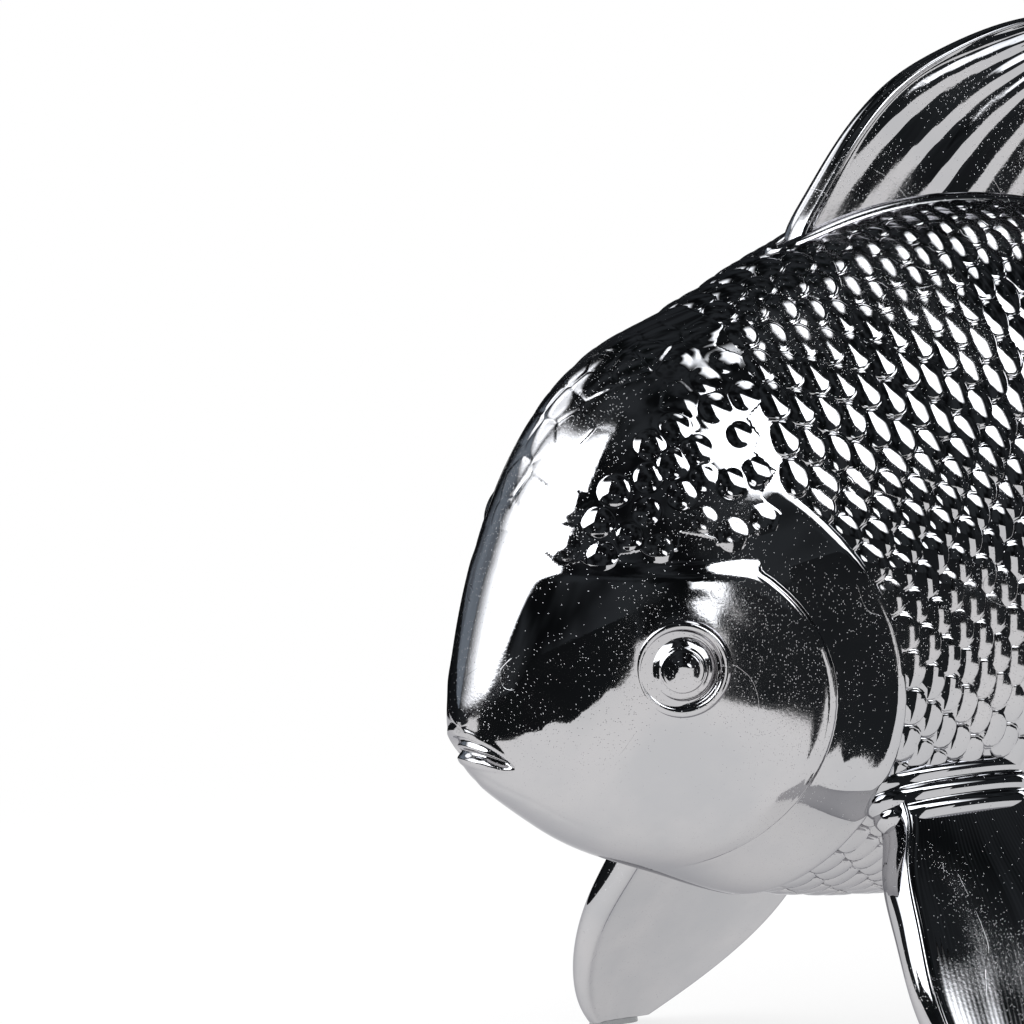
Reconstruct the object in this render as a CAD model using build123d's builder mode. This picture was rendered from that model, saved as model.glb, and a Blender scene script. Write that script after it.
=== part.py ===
from build123d import *
import os
from math import acos, atan2, cos, degrees, radians, sin

# Goldfish figurine: two hollow half shells bonded on the middle plane, with cast fins and eyes
# glued into sockets. Millimetres, +Z up. The head points along -X, the fish's left side is -Y.
# The origin is on the surface that it stands on, below the middle of its overall length.

# Whole fish
overall_length = 320.0
body_length = 225.0
back_rise = 88.0
belly_drop = 44.0
body_half_width = 40.0
widest_rise = 22.0
snout_height = 82.0

# Shell
wall = 3.0
boss_wall = 2.5
fit_clearance = 0.15
overrun = 25.0

# Seam pegs of the left half, in holes of the right half
peg_radius = 2.0
peg_length = 6.0
peg_boss_radius = 4.5

# Gill cover and the raised rim along its front edge
gill_radius = 56.5
gill_step = 1.8
rim_radius = 35.0
rim_width = 2.2
rim_step = 0.9

# Scales cast on the flank and the crown: rows from the back to the belly, columns to the tail
scale_rows = 13
scale_columns = 26
scale_base = 0.3
scale_rise = 1.3
scale_edge = 0.4
scale_tuck = 1.0

# Mouth
mouth_length = 6.5
mouth_height = 2.4
mouth_slope = 25.0

# Eye and its socket
eye_radius = 6.3
eye_dome = 2.8
eye_ring_radius = 8.4
eye_ring_rise = 1.4
eye_seat_depth = 1.2
eye_turn = 31.0
eye_stem_radius = 3.5
eye_stem_length = 5.0
pupil_radius = 3.9
pupil_rise = 0.5

# Fins: chord and thickness at the root, thickness at the outer edge, reach
dorsal_rise = 48.0
dorsal_root = 5.0
dorsal_edge = 2.0
pectoral_chord = 32.0
pectoral_root = 8.0
pectoral_edge = 3.6
pectoral_spread = 69.0
pectoral_mid = 5.0
pectoral_bow = 3.0
pelvic_chord = 17.0
pelvic_length = 36.0
pelvic_root = 4.5
pelvic_edge = 1.8
pelvic_lean = 28.0
anal_length = 32.0
anal_root = 4.4
anal_edge = 1.8
tail_chord = 22.0
tail_root = 4.0
tail_edge = 2.0
tail_upper_rise = 60.0
tail_gap = 9.0
tail_splay = 14.0
tail_roll = 8.0
tenon_depth = 8.0

# Grooves between the rays of a fin: their depth on the blade, and at the root, where they fade out
flute_depth = 0.8
root_flute = 0.1

# Collar that the pectoral fin grows out of
collar_width = 3.2
collar_rise = 3.0
collar_taper = 25.0

# Vent hole in the belly and its plug
vent_radius = 4.0
plug_head_radius = 6.5
plug_head_height = 1.4
plug_seat_depth = 0.8
plug_barb = 0.5
plug_barb_length = 1.5

# Foot pads under the fin tips
pad_length = 11.0
pad_width = 5.0
pad_height = 1.2
pad_taper = 8.0

# Cross sections of the body from the snout to the tail stem, as shares of the driving sizes:
# along the body length, top of the back, bottom of the belly, half width, height of the widest line
station_shares = [
    (0.000, 0.034, 0.160, 0.090, -0.09),
    (0.007, 0.080, 0.215, 0.160, -0.09),
    (0.016, 0.176, 0.270, 0.225, -0.07),
    (0.031, 0.312, 0.350, 0.312, 0.00),
    (0.058, 0.470, 0.455, 0.440, 0.09),
    (0.098, 0.620, 0.580, 0.590, 0.23),
    (0.160, 0.745, 0.730, 0.750, 0.36),
    (0.244, 0.825, 0.865, 0.875, 0.46),
    (0.338, 0.930, 0.955, 0.960, 0.59),
    (0.467, 1.000, 1.000, 1.000, 0.73),
    (0.600, 0.975, 0.920, 0.925, 0.86),
    (0.733, 0.850, 0.680, 0.740, 0.95),
    (0.867, 0.650, 0.295, 0.520, 1.00),
    (0.965, 0.520, 0.030, 0.400, 1.00),
    (1.000, 0.460, -0.060, 0.335, 1.00),
]
hollow_rows = station_shares[4:13]
gill_rows = station_shares[5:9]

# Fin outlines as shares: of the half chord or chord along it, of the fin's reach away from the body
dorsal_lead_shares = [
    (-1.00, 0.02),
    (-0.92, 0.18),
    (-0.76, 0.42),
    (-0.51, 0.67),
    (-0.27, 0.80),
    (0.14, 0.94),
    (0.60, 1.00),
]
dorsal_trail_shares = [(1.05, 0.97), (1.32, 0.84), (1.18, 0.52), (1.04, 0.24), (1.00, 0.00)]
pectoral_lead_shares = [
    (-0.50, 0.05),
    (-0.60, 0.16),
    (-0.67, 0.34),
    (-0.70, 0.52),
    (-0.66, 0.66),
    (-0.57, 0.80),
    (-0.42, 0.94),
    (-0.32, 1.0),
]
pectoral_trail_shares = [(0.02, 1.0), (0.26, 0.91), (0.54, 0.78), (0.80, 0.56), (0.79, 0.32), (0.50, 0.05)]
small_lead_shares = [(-0.50, 0.08), (-0.34, 0.38), (0.06, 0.72), (0.62, 0.98)]
small_trail_shares = [(1.10, 0.98), (1.04, 0.66), (0.66, 0.36), (0.50, 0.08)]
tail_upper_shares = [(0.36, 0.22), (0.62, 0.50), (0.88, 0.80), (1.0, 0.965)]
tail_fork_shares = [(0.82, 0.98), (0.46, 0.80), (0.10, 0.62)]
tail_lower_shares = [(0.16, 0.60), (0.46, 0.72), (0.78, 0.80), (1.02, 0.78)]
tail_under_shares = [(1.02, 0.64), (0.82, 0.50), (0.50, 0.28), (0.24, 0.12)]

# Width that the rays fan out to at a fin's outer edge: front and rear, or upper and lower
dorsal_root_fan_shares = (-1.05, 1.05)
dorsal_low_fan_shares = (-1.05, 1.15)
dorsal_fan_shares = (-0.40, 1.75)
pectoral_fan_share = 1.75
pelvic_fan_shares = (-0.5, 3.0)
anal_fan_shares = (-0.5, 2.0)
tail_fan_shares = (-1.7, 1.4)

dorsal_rays = 12
pectoral_rays = 9
small_rays = 7
tail_rays = 16

# Places along the body length, and beside them the height or angle they go with
peg_place_shares = [(0.13, 1), (0.17, -1), (0.70, -1), (0.80, 1)]
gill_centre_shares = (0.083, -0.12)
rim_centre_shares = (0.116, -0.05)
crown_line_share = 0.37
scaled_front_share = 0.06
scaled_rear_share = 0.985
mouth_centre_share = -0.155
eye_along_share = 0.134
eye_angle = 2.3
dorsal_front_share = 0.333
dorsal_rear_share = 0.740
pectoral_along_share = 0.40
pectoral_angle = -38.0
pelvic_along_share = 0.56
pelvic_angle = -66.0
anal_front_share = 0.740
anal_rear_share = 0.860
vent_along_share = 0.467
front_foot_share = -0.15
rear_foot_share = 0.71

snout_x = -overall_length / 2


def station(along_share):
    """Position and section radii at a share of the body length, between the listed stations."""
    for before, after in zip(station_shares, station_shares[1:]):
        if along_share <= after[0]:
            break
    blend = (along_share - before[0]) / (after[0] - before[0])
    mixed = [a + (b - a) * blend for a, b in zip(before, after)]
    x = snout_x + body_length * mixed[0]
    top = snout_height + back_rise * mixed[1]
    bottom = snout_height - belly_drop * mixed[2]
    middle = snout_height + widest_rise * mixed[4]
    return x, top, bottom, body_half_width * mixed[3], middle


def smooth_station(along_share):
    """Section radii as station gives them, but on the smooth curve that the skin follows."""
    index = 1
    while along_share > station_shares[index + 1][0] and index < len(station_shares) - 3:
        index += 1
    ahead, before, after, beyond = station_shares[index - 1:index + 3]
    span = after[0] - before[0]
    blend = (along_share - before[0]) / span
    mixed = []
    for a, b, c, d in zip(ahead, before, after, beyond):
        start_slope = (c - a) / (after[0] - ahead[0]) * span
        end_slope = (d - b) / (beyond[0] - before[0]) * span
        rise = (3 - 2 * blend) * blend**2 * (c - b)
        lean = blend * (1 - blend) * ((1 - blend) * start_slope - blend * end_slope)
        mixed.append(b + rise + lean)
    top = snout_height + back_rise * mixed[1]
    bottom = snout_height - belly_drop * mixed[2]
    middle = snout_height + widest_rise * mixed[4]
    return top, bottom, body_half_width * mixed[3], middle


def skin_point(along_share, angle):
    """Point on the left flank, at an angle above the widest line, or below it if negative."""
    x, top, bottom, half_width, middle = station(along_share)
    reach = top - middle if angle > 0 else middle - bottom
    return Vector(x, -half_width * cos(radians(angle)), middle + reach * sin(radians(angle)))


def half_section(along_share, inset):
    """D-shaped section of the left half, drawn in from the skin by inset all round."""
    x, top, bottom, half_width, middle = station(along_share)
    radius = half_width - inset
    with BuildSketch(Plane.YZ.offset(x + inset * (1 - 2 * along_share))) as section:
        with BuildLine():
            EllipticalCenterArc((0, middle), radius, top - middle - inset, 90, arc_size=90)
            EllipticalCenterArc((0, middle), radius, middle - bottom - inset, 180, arc_size=90)
            Line((0, bottom + inset), (0, top - inset))
        make_face()
    return section.sketch


def scaled_section(along_share, shift, column, rise):
    """Section of the left half through a column of scales.

    Every other point is on a scale of this column, and stands up by rise. The points between are
    half way along the scales of the next column.
    """
    top, bottom, half_width, middle = smooth_station(along_share)
    points = []
    for row in range(2 * scale_rows + 1):
        angle = 90 - 180 * row / (2 * scale_rows)
        height = scale_base + (rise if (row + column) % 2 == 0 else scale_rise / 2)
        reach = top - middle if angle > 0 else middle - bottom
        across = (half_width + height) * cos(radians(angle))
        points.append((-across, middle + (reach + height) * sin(radians(angle))))
    points[0] = (0, points[0][1])
    points[-1] = (0, points[-1][1])
    with BuildSketch(Plane.YZ.offset(snout_x + body_length * along_share + shift)) as section:
        with BuildLine():
            Polyline(*points, close=True)
        make_face()
    return section.sketch


def side_place(shares):
    """Point in the side view, as a share of the body length and of the back's or belly's height."""
    along, up = shares
    return snout_x + body_length * along, snout_height + (back_rise if up > 0 else belly_drop) * up


def fin_plane(root, chord_direction, growth_direction):
    """Plane of a fin at its root: local x runs along the chord, local y away from the body."""
    return Plane(root, x_dir=chord_direction, z_dir=chord_direction.cross(growth_direction))


def seat_block(plane, chord, thickness, grow):
    """Block round a fin's tenon, larger than it by grow at the sides and the end."""
    with BuildPart() as block:
        with BuildSketch(plane.offset(-thickness / 2 - grow)):
            with Locations((0, (overrun - tenon_depth - grow) / 2)):
                Rectangle(chord + 2 * grow, overrun + tenon_depth + grow)
        extrude(amount=thickness + 2 * grow)
    return block.part


def flute_section(plane, growth, front, rear, thickness, flute, rays, bow=0.0):
    """Section across a fin: a thin closed band with a ridge for each ray and a groove between."""
    steps = 2 * rays
    outer, inner = [], []
    for step in range(steps + 1):
        share = step / steps
        middle = bow * 4 * share * (1 - share)
        half = thickness / 2 - (0 if step % 2 else flute)
        chordwise = front + (rear - front) * share
        outer.append((chordwise, middle + half))
        inner.append((chordwise, middle - half))
    across = Plane(plane.origin + plane.y_dir * growth, x_dir=plane.x_dir, z_dir=plane.y_dir)
    with BuildSketch(across) as section:
        with BuildLine():
            Polyline(*outer, *reversed(inner), close=True)
        make_face()
    return section.sketch


# Places of the fin roots, worked out from the body's sections
dorsal_start = station(dorsal_front_share)
dorsal_end = station(dorsal_rear_share)
dorsal_front = Vector(dorsal_start[0], 0, dorsal_start[1])
dorsal_rear = Vector(dorsal_end[0], 0, dorsal_end[1])
dorsal_chord = (dorsal_rear - dorsal_front).length
dorsal_along = (dorsal_rear - dorsal_front).normalized()
dorsal_out = Vector(-dorsal_along.Z, 0, dorsal_along.X)
dorsal_plane = fin_plane((dorsal_front + dorsal_rear) / 2, dorsal_along, dorsal_out)
dorsal_clear = dorsal_rise / 4

pectoral_place = skin_point(pectoral_along_share, pectoral_angle)
pectoral_down = Vector(0, -pectoral_spread - pectoral_place.Y, -pectoral_place.Z)
pectoral_length = pectoral_down.length
pectoral_plane = fin_plane(pectoral_place, Vector(1, 0, 0), pectoral_down.normalized())

pelvic_down = Vector(0, -sin(radians(pelvic_lean)), -cos(radians(pelvic_lean)))
pelvic_plane = fin_plane(skin_point(pelvic_along_share, pelvic_angle), Vector(1, 0, 0), pelvic_down)

anal_start = station(anal_front_share)
anal_end = station(anal_rear_share)
anal_front = Vector(anal_start[0], 0, anal_start[2])
anal_rear = Vector(anal_end[0], 0, anal_end[2])
anal_chord = (anal_rear - anal_front).length
anal_along = (anal_rear - anal_front).normalized()
anal_out = Vector(anal_along.Z, 0, -anal_along.X)
anal_plane = fin_plane((anal_front + anal_rear) / 2, anal_along, anal_out)

stem_end = station(1.0)
tail_place = Vector(stem_end[0], -(tail_gap + tail_root) / 2, stem_end[4])
tail_back = Vector(cos(radians(tail_splay)), -sin(radians(tail_splay)), 0)
tail_inward = Vector(sin(radians(tail_splay)), cos(radians(tail_splay)), 0)
tail_up = Vector(0, 0, 1) * cos(radians(tail_roll)) + tail_inward * sin(radians(tail_roll))
tail_plane = fin_plane(tail_place, tail_up, tail_back)
tail_drop = tail_place.Z / cos(radians(tail_roll))
tail_length = (overall_length - body_length) / cos(radians(tail_splay))

eye_place = skin_point(eye_along_share, eye_angle)
eye_out = Vector(-sin(radians(eye_turn)), -cos(radians(eye_turn)), 0)
eye_back = Vector(cos(radians(eye_turn)), -sin(radians(eye_turn)), 0)
eye_plane = Plane(eye_place, x_dir=eye_back, z_dir=eye_out)
eye_profile_plane = Plane(eye_place, x_dir=eye_back, z_dir=eye_back.cross(eye_out))

eye_curve_radius = (eye_radius**2 + eye_dome**2) / (2 * eye_dome)
eye_centre = eye_dome - eye_curve_radius
eye_edge_angle = degrees(atan2(-eye_centre, eye_radius))
pupil_angle = degrees(acos(pupil_radius / eye_curve_radius))
pupil_edge = eye_centre + eye_curve_radius * sin(radians(pupil_angle))
pupil_top = eye_dome + pupil_rise

pectoral_plane_across = Plane(
    pectoral_place - pectoral_plane.y_dir * wall,
    x_dir=pectoral_plane.x_dir,
    z_dir=pectoral_plane.y_dir,
)
fin_seats = [
    (dorsal_plane, dorsal_chord, dorsal_root),
    (pectoral_plane, pectoral_chord, pectoral_root),
    (pelvic_plane, pelvic_chord, pelvic_root),
    (anal_plane, anal_chord, anal_root),
    (tail_plane, tail_chord, tail_root),
]
vent_x = station(vent_along_share)[0]
vent_seat = station(vent_along_share)[2] + plug_seat_depth
peg_places = []
for along_share, side in peg_place_shares:
    x, top, bottom, half_width, middle = station(along_share)
    edge = top if side > 0 else bottom
    peg_places.append((x, edge - side * (wall + peg_boss_radius)))

# Skin of the left half, closed at the middle plane
with BuildPart() as skin:
    loft([half_section(row[0], 0) for row in station_shares])

# Gill cover: the skin raised by a step behind the rim, under the scaled crown
with BuildPart() as gill_cover:
    loft([half_section(row[0], -gill_step) for row in gill_rows])
    with BuildSketch(Plane.XZ):
        with Locations(side_place(gill_centre_shares)):
            Circle(gill_radius)
        with Locations(side_place(rim_centre_shares)):
            Circle(rim_radius - rim_width, mode=Mode.SUBTRACT)
            Rectangle(overall_length, overall_length, align=(Align.MAX, Align.CENTER), mode=Mode.SUBTRACT)
        with Locations(side_place((0, crown_line_share))):
            Rectangle(overall_length, overall_length, align=(Align.CENTER, Align.MIN), mode=Mode.SUBTRACT)
    extrude(amount=body_half_width + overrun, mode=Mode.INTERSECT)

# Rim along the front edge of the gill cover
with BuildPart() as gill_rim:
    loft([half_section(row[0], -gill_step - rim_step) for row in gill_rows])
    with BuildSketch(Plane.XZ):
        with Locations(side_place(rim_centre_shares)):
            Circle(rim_radius)
            Circle(rim_radius - rim_width, mode=Mode.SUBTRACT)
            Rectangle(overall_length, overall_length, align=(Align.MAX, Align.CENTER), mode=Mode.SUBTRACT)
    extrude(amount=body_half_width + overrun, mode=Mode.INTERSECT)

# Hollow inside, less the bosses that the fins, the eye and the pegs are seated in
with BuildPart() as hollow:
    loft([half_section(row[0], wall) for row in hollow_rows])
    seat_grow = fit_clearance + boss_wall
    add(seat_block(dorsal_plane, dorsal_chord, dorsal_root, seat_grow), mode=Mode.SUBTRACT)
    add(seat_block(pectoral_plane, pectoral_chord, pectoral_root, seat_grow), mode=Mode.SUBTRACT)
    add(seat_block(pelvic_plane, pelvic_chord, pelvic_root, seat_grow), mode=Mode.SUBTRACT)
    add(seat_block(anal_plane, anal_chord, anal_root, seat_grow), mode=Mode.SUBTRACT)
    with BuildSketch(eye_plane):
        Circle(eye_stem_radius + seat_grow)
    extrude(amount=-eye_seat_depth - eye_stem_length - seat_grow, mode=Mode.SUBTRACT)
    with BuildSketch(Plane.XZ):
        with Locations(*peg_places):
            Circle(peg_boss_radius)
    extrude(amount=body_half_width, mode=Mode.SUBTRACT)

# Everything that the two halves share, as the left half
with BuildPart() as half_shell:
    add(skin.part)
    add(gill_cover.part)
    add(gill_rim.part)
    with BuildSketch(eye_plane.offset(-wall)):
        Circle(eye_ring_radius)
    extrude(amount=wall + eye_ring_rise)
    with BuildSketch(pectoral_plane_across):
        RectangleRounded(
            pectoral_chord + 2 * collar_width,
            pectoral_root + 2 * collar_width,
            pectoral_root / 2,
        )
    extrude(amount=wall + collar_rise, taper=collar_taper)
    add(hollow.part, mode=Mode.SUBTRACT)
    for plane, chord, thickness in fin_seats:
        add(seat_block(plane, chord, thickness, fit_clearance), mode=Mode.SUBTRACT)
    with BuildSketch(eye_plane.offset(-eye_seat_depth)):
        Circle(eye_radius + fit_clearance)
    extrude(amount=overrun, mode=Mode.SUBTRACT)
    with BuildSketch(eye_plane.offset(-eye_seat_depth)):
        Circle(eye_stem_radius + fit_clearance)
    extrude(amount=-eye_stem_length - fit_clearance, mode=Mode.SUBTRACT)
    with BuildSketch(Plane.XZ):
        with Locations(side_place((0, mouth_centre_share))):
            Ellipse(mouth_length, mouth_height / 2, rotation=-mouth_slope)
    extrude(amount=body_half_width, both=True, mode=Mode.SUBTRACT)
    with BuildSketch(Plane.XY.offset(vent_seat)):
        with Locations((vent_x, 0)):
            Circle(vent_radius)
    extrude(amount=wall + overrun, mode=Mode.SUBTRACT)
    with BuildSketch(Plane.XY.offset(vent_seat)):
        with Locations((vent_x, 0)):
            Circle(plug_head_radius + fit_clearance)
    extrude(amount=-overrun, mode=Mode.SUBTRACT)

# Scales: each stands up towards its rear edge, and the next column starts half a row lower
with BuildPart() as under_skin:
    loft([half_section(row[0], wall / 2) for row in station_shares])

with BuildPart() as scaled_skin:
    sections = []
    for column in range(scale_columns + 1):
        share = scaled_front_share + (scaled_rear_share - scaled_front_share) * column / scale_columns
        if column > 0:
            sections.append(scaled_section(share, -scale_edge, column, scale_rise))
        if column < scale_columns:
            sections.append(scaled_section(share, scale_edge, column, 0))
    loft(sections, ruled=True)
    with BuildSketch(Plane.XZ, mode=Mode.PRIVATE) as bare_head:
        with Locations(side_place(gill_centre_shares)):
            Circle(gill_radius - scale_tuck)
        with Locations(side_place((0, crown_line_share))):
            Rectangle(
                2 * overall_length,
                overall_length,
                align=(Align.CENTER, Align.MIN),
                mode=Mode.SUBTRACT,
            )
    with BuildSketch(Plane.XY.offset(vent_seat), mode=Mode.PRIVATE) as vent_mouth:
        with Locations((vent_x, 0)):
            Circle(plug_head_radius + fit_clearance)
    with BuildSketch(Plane.XY.offset(vent_seat), mode=Mode.PRIVATE) as vent_hole:
        with Locations((vent_x, 0)):
            Circle(vent_radius)
    cut_away = [under_skin.part]
    cut_away.append(extrude(bare_head.sketch, amount=body_half_width + overrun, mode=Mode.PRIVATE))
    cut_away.append(extrude(vent_mouth.sketch, amount=-overrun, mode=Mode.PRIVATE))
    cut_away.append(extrude(vent_hole.sketch, amount=wall, mode=Mode.PRIVATE))
    for plane, chord, thickness in fin_seats:
        cut_away.append(seat_block(plane, chord, thickness, fit_clearance))
    add(cut_away, mode=Mode.SUBTRACT)

with BuildPart() as scaled_half:
    add(half_shell.part)
    add(scaled_skin.part)

with BuildPart() as body_left_half:
    add(scaled_half.part)
    with BuildSketch(Plane.XZ):
        with Locations(*peg_places):
            Circle(peg_radius)
    extrude(amount=-peg_length)

with BuildPart() as body_right_half:
    mirror(scaled_half.part, about=Plane.XZ)
    with BuildSketch(Plane.XZ):
        with Locations(*peg_places):
            Circle(peg_radius + fit_clearance)
    extrude(amount=-peg_length - fit_clearance, mode=Mode.SUBTRACT)

# Eye: a dome with a raised pupil, turned about the axis of its socket, on a stem
with BuildPart() as left_eye:
    with BuildSketch(eye_profile_plane):
        with BuildLine():
            Polyline(
                (0, pupil_top),
                (0, -eye_seat_depth - eye_stem_length),
                (eye_stem_radius, -eye_seat_depth - eye_stem_length),
                (eye_stem_radius, -eye_seat_depth),
                (eye_radius, -eye_seat_depth),
                (eye_radius, 0),
            )
            CenterArc((0, eye_centre), eye_curve_radius, eye_edge_angle, pupil_angle - eye_edge_angle)
            Line((pupil_radius, pupil_edge), (pupil_radius, pupil_edge + pupil_rise))
            CenterArc((0, eye_centre + pupil_rise), eye_curve_radius, pupil_angle, 90 - pupil_angle)
        make_face()
    revolve(axis=Axis(eye_place, eye_out))

with BuildPart() as right_eye:
    mirror(left_eye.part, about=Plane.XZ)

# Dorsal fin: swept rays from the slot along the back to a rounded edge
with BuildPart() as dorsal_fin:
    with BuildSketch(dorsal_plane):
        with BuildLine():
            half_chord = dorsal_chord / 2
            front_foot = (-half_chord, -tenon_depth)
            rear_foot = (half_chord, -tenon_depth)
            lead = [(half_chord * a, dorsal_rise * b) for a, b in dorsal_lead_shares]
            trail = [(half_chord * a, dorsal_rise * b) for a, b in dorsal_trail_shares]
            Polyline(lead[0], front_foot, rear_foot, trail[-1])
            Spline(*lead)
            Spline(lead[-1], *trail)
        make_face()
    extrude(amount=overrun, both=True)
    sections = []
    for growth, fan_shares, thickness, flute in (
        (-tenon_depth, dorsal_root_fan_shares, dorsal_root, root_flute),
        (dorsal_clear, dorsal_low_fan_shares, dorsal_root, root_flute),
        (dorsal_rise + tenon_depth, dorsal_fan_shares, dorsal_edge, flute_depth),
    ):
        front = half_chord * fan_shares[0]
        rear = half_chord * fan_shares[1]
        sections.append(flute_section(dorsal_plane, growth, front, rear, thickness, flute, dorsal_rays))
    loft(sections, ruled=True, mode=Mode.INTERSECT)

# Pectoral fin: a bowed paddle that reaches down to its foot pad
with BuildPart() as left_pectoral_fin:
    with BuildSketch(pectoral_plane):
        with BuildLine():
            lead = [(pectoral_chord * a, pectoral_length * b) for a, b in pectoral_lead_shares]
            trail = [(pectoral_chord * a, pectoral_length * b) for a, b in pectoral_trail_shares]
            half_chord = pectoral_chord / 2
            Polyline(lead[0], (-half_chord, -tenon_depth), (half_chord, -tenon_depth), trail[-1])
            Spline(*lead, tangents=[(0, 1), (1, 1)])
            Line(lead[-1], trail[0])
            Spline(*trail)
        make_face()
    extrude(amount=overrun, both=True)
    sections = []
    fan = pectoral_chord * pectoral_fan_share
    for growth, width, thickness, flute, bow in (
        (-tenon_depth, pectoral_chord, pectoral_root, root_flute, 0),
        (collar_rise, pectoral_chord, pectoral_root, root_flute, 0),
        (pectoral_length / 2, fan, pectoral_mid, flute_depth, pectoral_bow),
        (pectoral_length + tenon_depth, fan, pectoral_edge, flute_depth, 0),
    ):
        front, rear = -width / 2, width / 2
        sections.append(
            flute_section(pectoral_plane, growth, front, rear, thickness, flute, pectoral_rays, -bow)
        )
    loft(sections, ruled=True, mode=Mode.INTERSECT)
    split(bisect_by=Plane.XY.offset(pad_height), keep=Keep.TOP)

with BuildPart() as right_pectoral_fin:
    mirror(left_pectoral_fin.part, about=Plane.XZ)

# Pelvic fin: small, under the belly, swept back
with BuildPart() as left_pelvic_fin:
    with BuildSketch(pelvic_plane):
        with BuildLine():
            lead = [(pelvic_chord * a, pelvic_length * b) for a, b in small_lead_shares]
            trail = [(pelvic_chord * a, pelvic_length * b) for a, b in small_trail_shares]
            half_chord = pelvic_chord / 2
            Polyline(lead[0], (-half_chord, -tenon_depth), (half_chord, -tenon_depth), trail[-1])
            Spline(*lead)
            Spline(lead[-1], *trail)
        make_face()
    extrude(amount=overrun, both=True)
    sections = []
    pelvic_fan = [pelvic_chord * share for share in pelvic_fan_shares]
    for growth, front, rear, thickness, flute in (
        (-tenon_depth, -pelvic_chord, pelvic_chord, pelvic_root, root_flute),
        (wall, -pelvic_chord, pelvic_chord, pelvic_root, root_flute),
        (pelvic_length + wall, *pelvic_fan, pelvic_edge, flute_depth),
    ):
        sections.append(flute_section(pelvic_plane, growth, front, rear, thickness, flute, small_rays))
    loft(sections, ruled=True, mode=Mode.INTERSECT)

with BuildPart() as right_pelvic_fin:
    mirror(left_pelvic_fin.part, about=Plane.XZ)

# Anal fin: on the middle plane, under the tail stem
with BuildPart() as anal_fin:
    with BuildSketch(anal_plane):
        with BuildLine():
            lead = [(anal_chord * a, anal_length * b) for a, b in small_lead_shares]
            trail = [(anal_chord * a, anal_length * b) for a, b in small_trail_shares]
            half_chord = anal_chord / 2
            Polyline(lead[0], (-half_chord, -tenon_depth), (half_chord, -tenon_depth), trail[-1])
            Spline(*lead)
            Spline(lead[-1], *trail)
        make_face()
    extrude(amount=overrun, both=True)
    sections = []
    anal_fan = [anal_chord * share for share in anal_fan_shares]
    for growth, front, rear, thickness, flute in (
        (-tenon_depth, -anal_chord, anal_chord, anal_root, root_flute),
        (wall, -anal_chord, anal_chord, anal_root, root_flute),
        (anal_length + wall, *anal_fan, anal_edge, flute_depth),
    ):
        sections.append(flute_section(anal_plane, growth, front, rear, thickness, flute, small_rays))
    loft(sections, ruled=True, mode=Mode.INTERSECT)

# Tail fin: one half of the fantail, an upper lobe and a lower lobe that stands on its foot pad
with BuildPart() as left_tail_fin:
    with BuildSketch(tail_plane):
        with BuildLine():
            half_chord = tail_chord / 2
            upper = [(tail_upper_rise * a, tail_length * b) for a, b in tail_upper_shares]
            fork = [(tail_upper_rise * a, tail_length * b) for a, b in tail_fork_shares]
            lower = [(-tail_drop * a, tail_length * b) for a, b in tail_lower_shares]
            under = [(-tail_drop * a, tail_length * b) for a, b in tail_under_shares]
            Polyline(
                (-half_chord, wall),
                (-half_chord, -tenon_depth),
                (half_chord, -tenon_depth),
                (half_chord, wall),
            )
            Spline((half_chord, wall), *upper)
            Spline(upper[-1], *fork, *lower)
            Line(lower[-1], under[0])
            Spline(*under, (-half_chord, wall))
        make_face()
    extrude(amount=overrun, both=True)
    sections = []
    tail_fan = (tail_drop * tail_fan_shares[0], tail_upper_rise * tail_fan_shares[1])
    for growth, front, rear, thickness, flute in (
        (-tenon_depth, -tail_chord, tail_chord, tail_root, root_flute),
        (wall, -tail_chord, tail_chord, tail_root, root_flute),
        (tail_length + wall, *tail_fan, tail_edge, flute_depth),
    ):
        sections.append(flute_section(tail_plane, growth, front, rear, thickness, flute, tail_rays))
    loft(sections, ruled=True, mode=Mode.INTERSECT)
    split(bisect_by=Plane.XY.offset(pad_height), keep=Keep.TOP)

with BuildPart() as right_tail_fin:
    mirror(left_tail_fin.part, about=Plane.XZ)

# Rubber plug of the vent hole: a head in its seat, a stem through the wall and a barb behind it
with BuildPart() as vent_plug:
    with BuildSketch(Plane.XZ.shift_origin((vent_x, 0, vent_seat))):
        with BuildLine():
            stem = vent_radius - fit_clearance
            barb = vent_radius + plug_barb
            barb_foot = wall - plug_seat_depth + plug_barb
            Polyline(
                (0, -plug_head_height),
                (plug_head_radius, -plug_head_height),
                (plug_head_radius, 0),
                (stem, 0),
                (stem, barb_foot),
                (barb, barb_foot),
                (stem - plug_barb, barb_foot + plug_barb_length),
                (0, barb_foot + plug_barb_length),
                close=True,
            )
        make_face()
    revolve(axis=Axis((vent_x, 0, vent_seat), (0, 0, 1)))

# Foot pads: under the tips of the pectoral fins, and under the lower lobes of the tail
front_foot = pectoral_plane.from_local_coords((pectoral_chord * front_foot_share, pectoral_length, 0))
rear_foot = tail_plane.from_local_coords((-tail_drop, tail_length * rear_foot_share, 0))

with BuildPart() as front_left_foot_pad:
    with BuildSketch():
        with Locations((front_foot.X, front_foot.Y)):
            SlotOverall(pad_length, pad_width)
    extrude(amount=pad_height, taper=pad_taper)

with BuildPart() as rear_left_foot_pad:
    with BuildSketch():
        with Locations(Location((rear_foot.X, rear_foot.Y), -tail_splay)):
            SlotOverall(pad_length, pad_width)
    extrude(amount=pad_height, taper=pad_taper)

with BuildPart() as front_right_foot_pad:
    mirror(front_left_foot_pad.part, about=Plane.XZ)

with BuildPart() as rear_right_foot_pad:
    mirror(rear_left_foot_pad.part, about=Plane.XZ)

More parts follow.
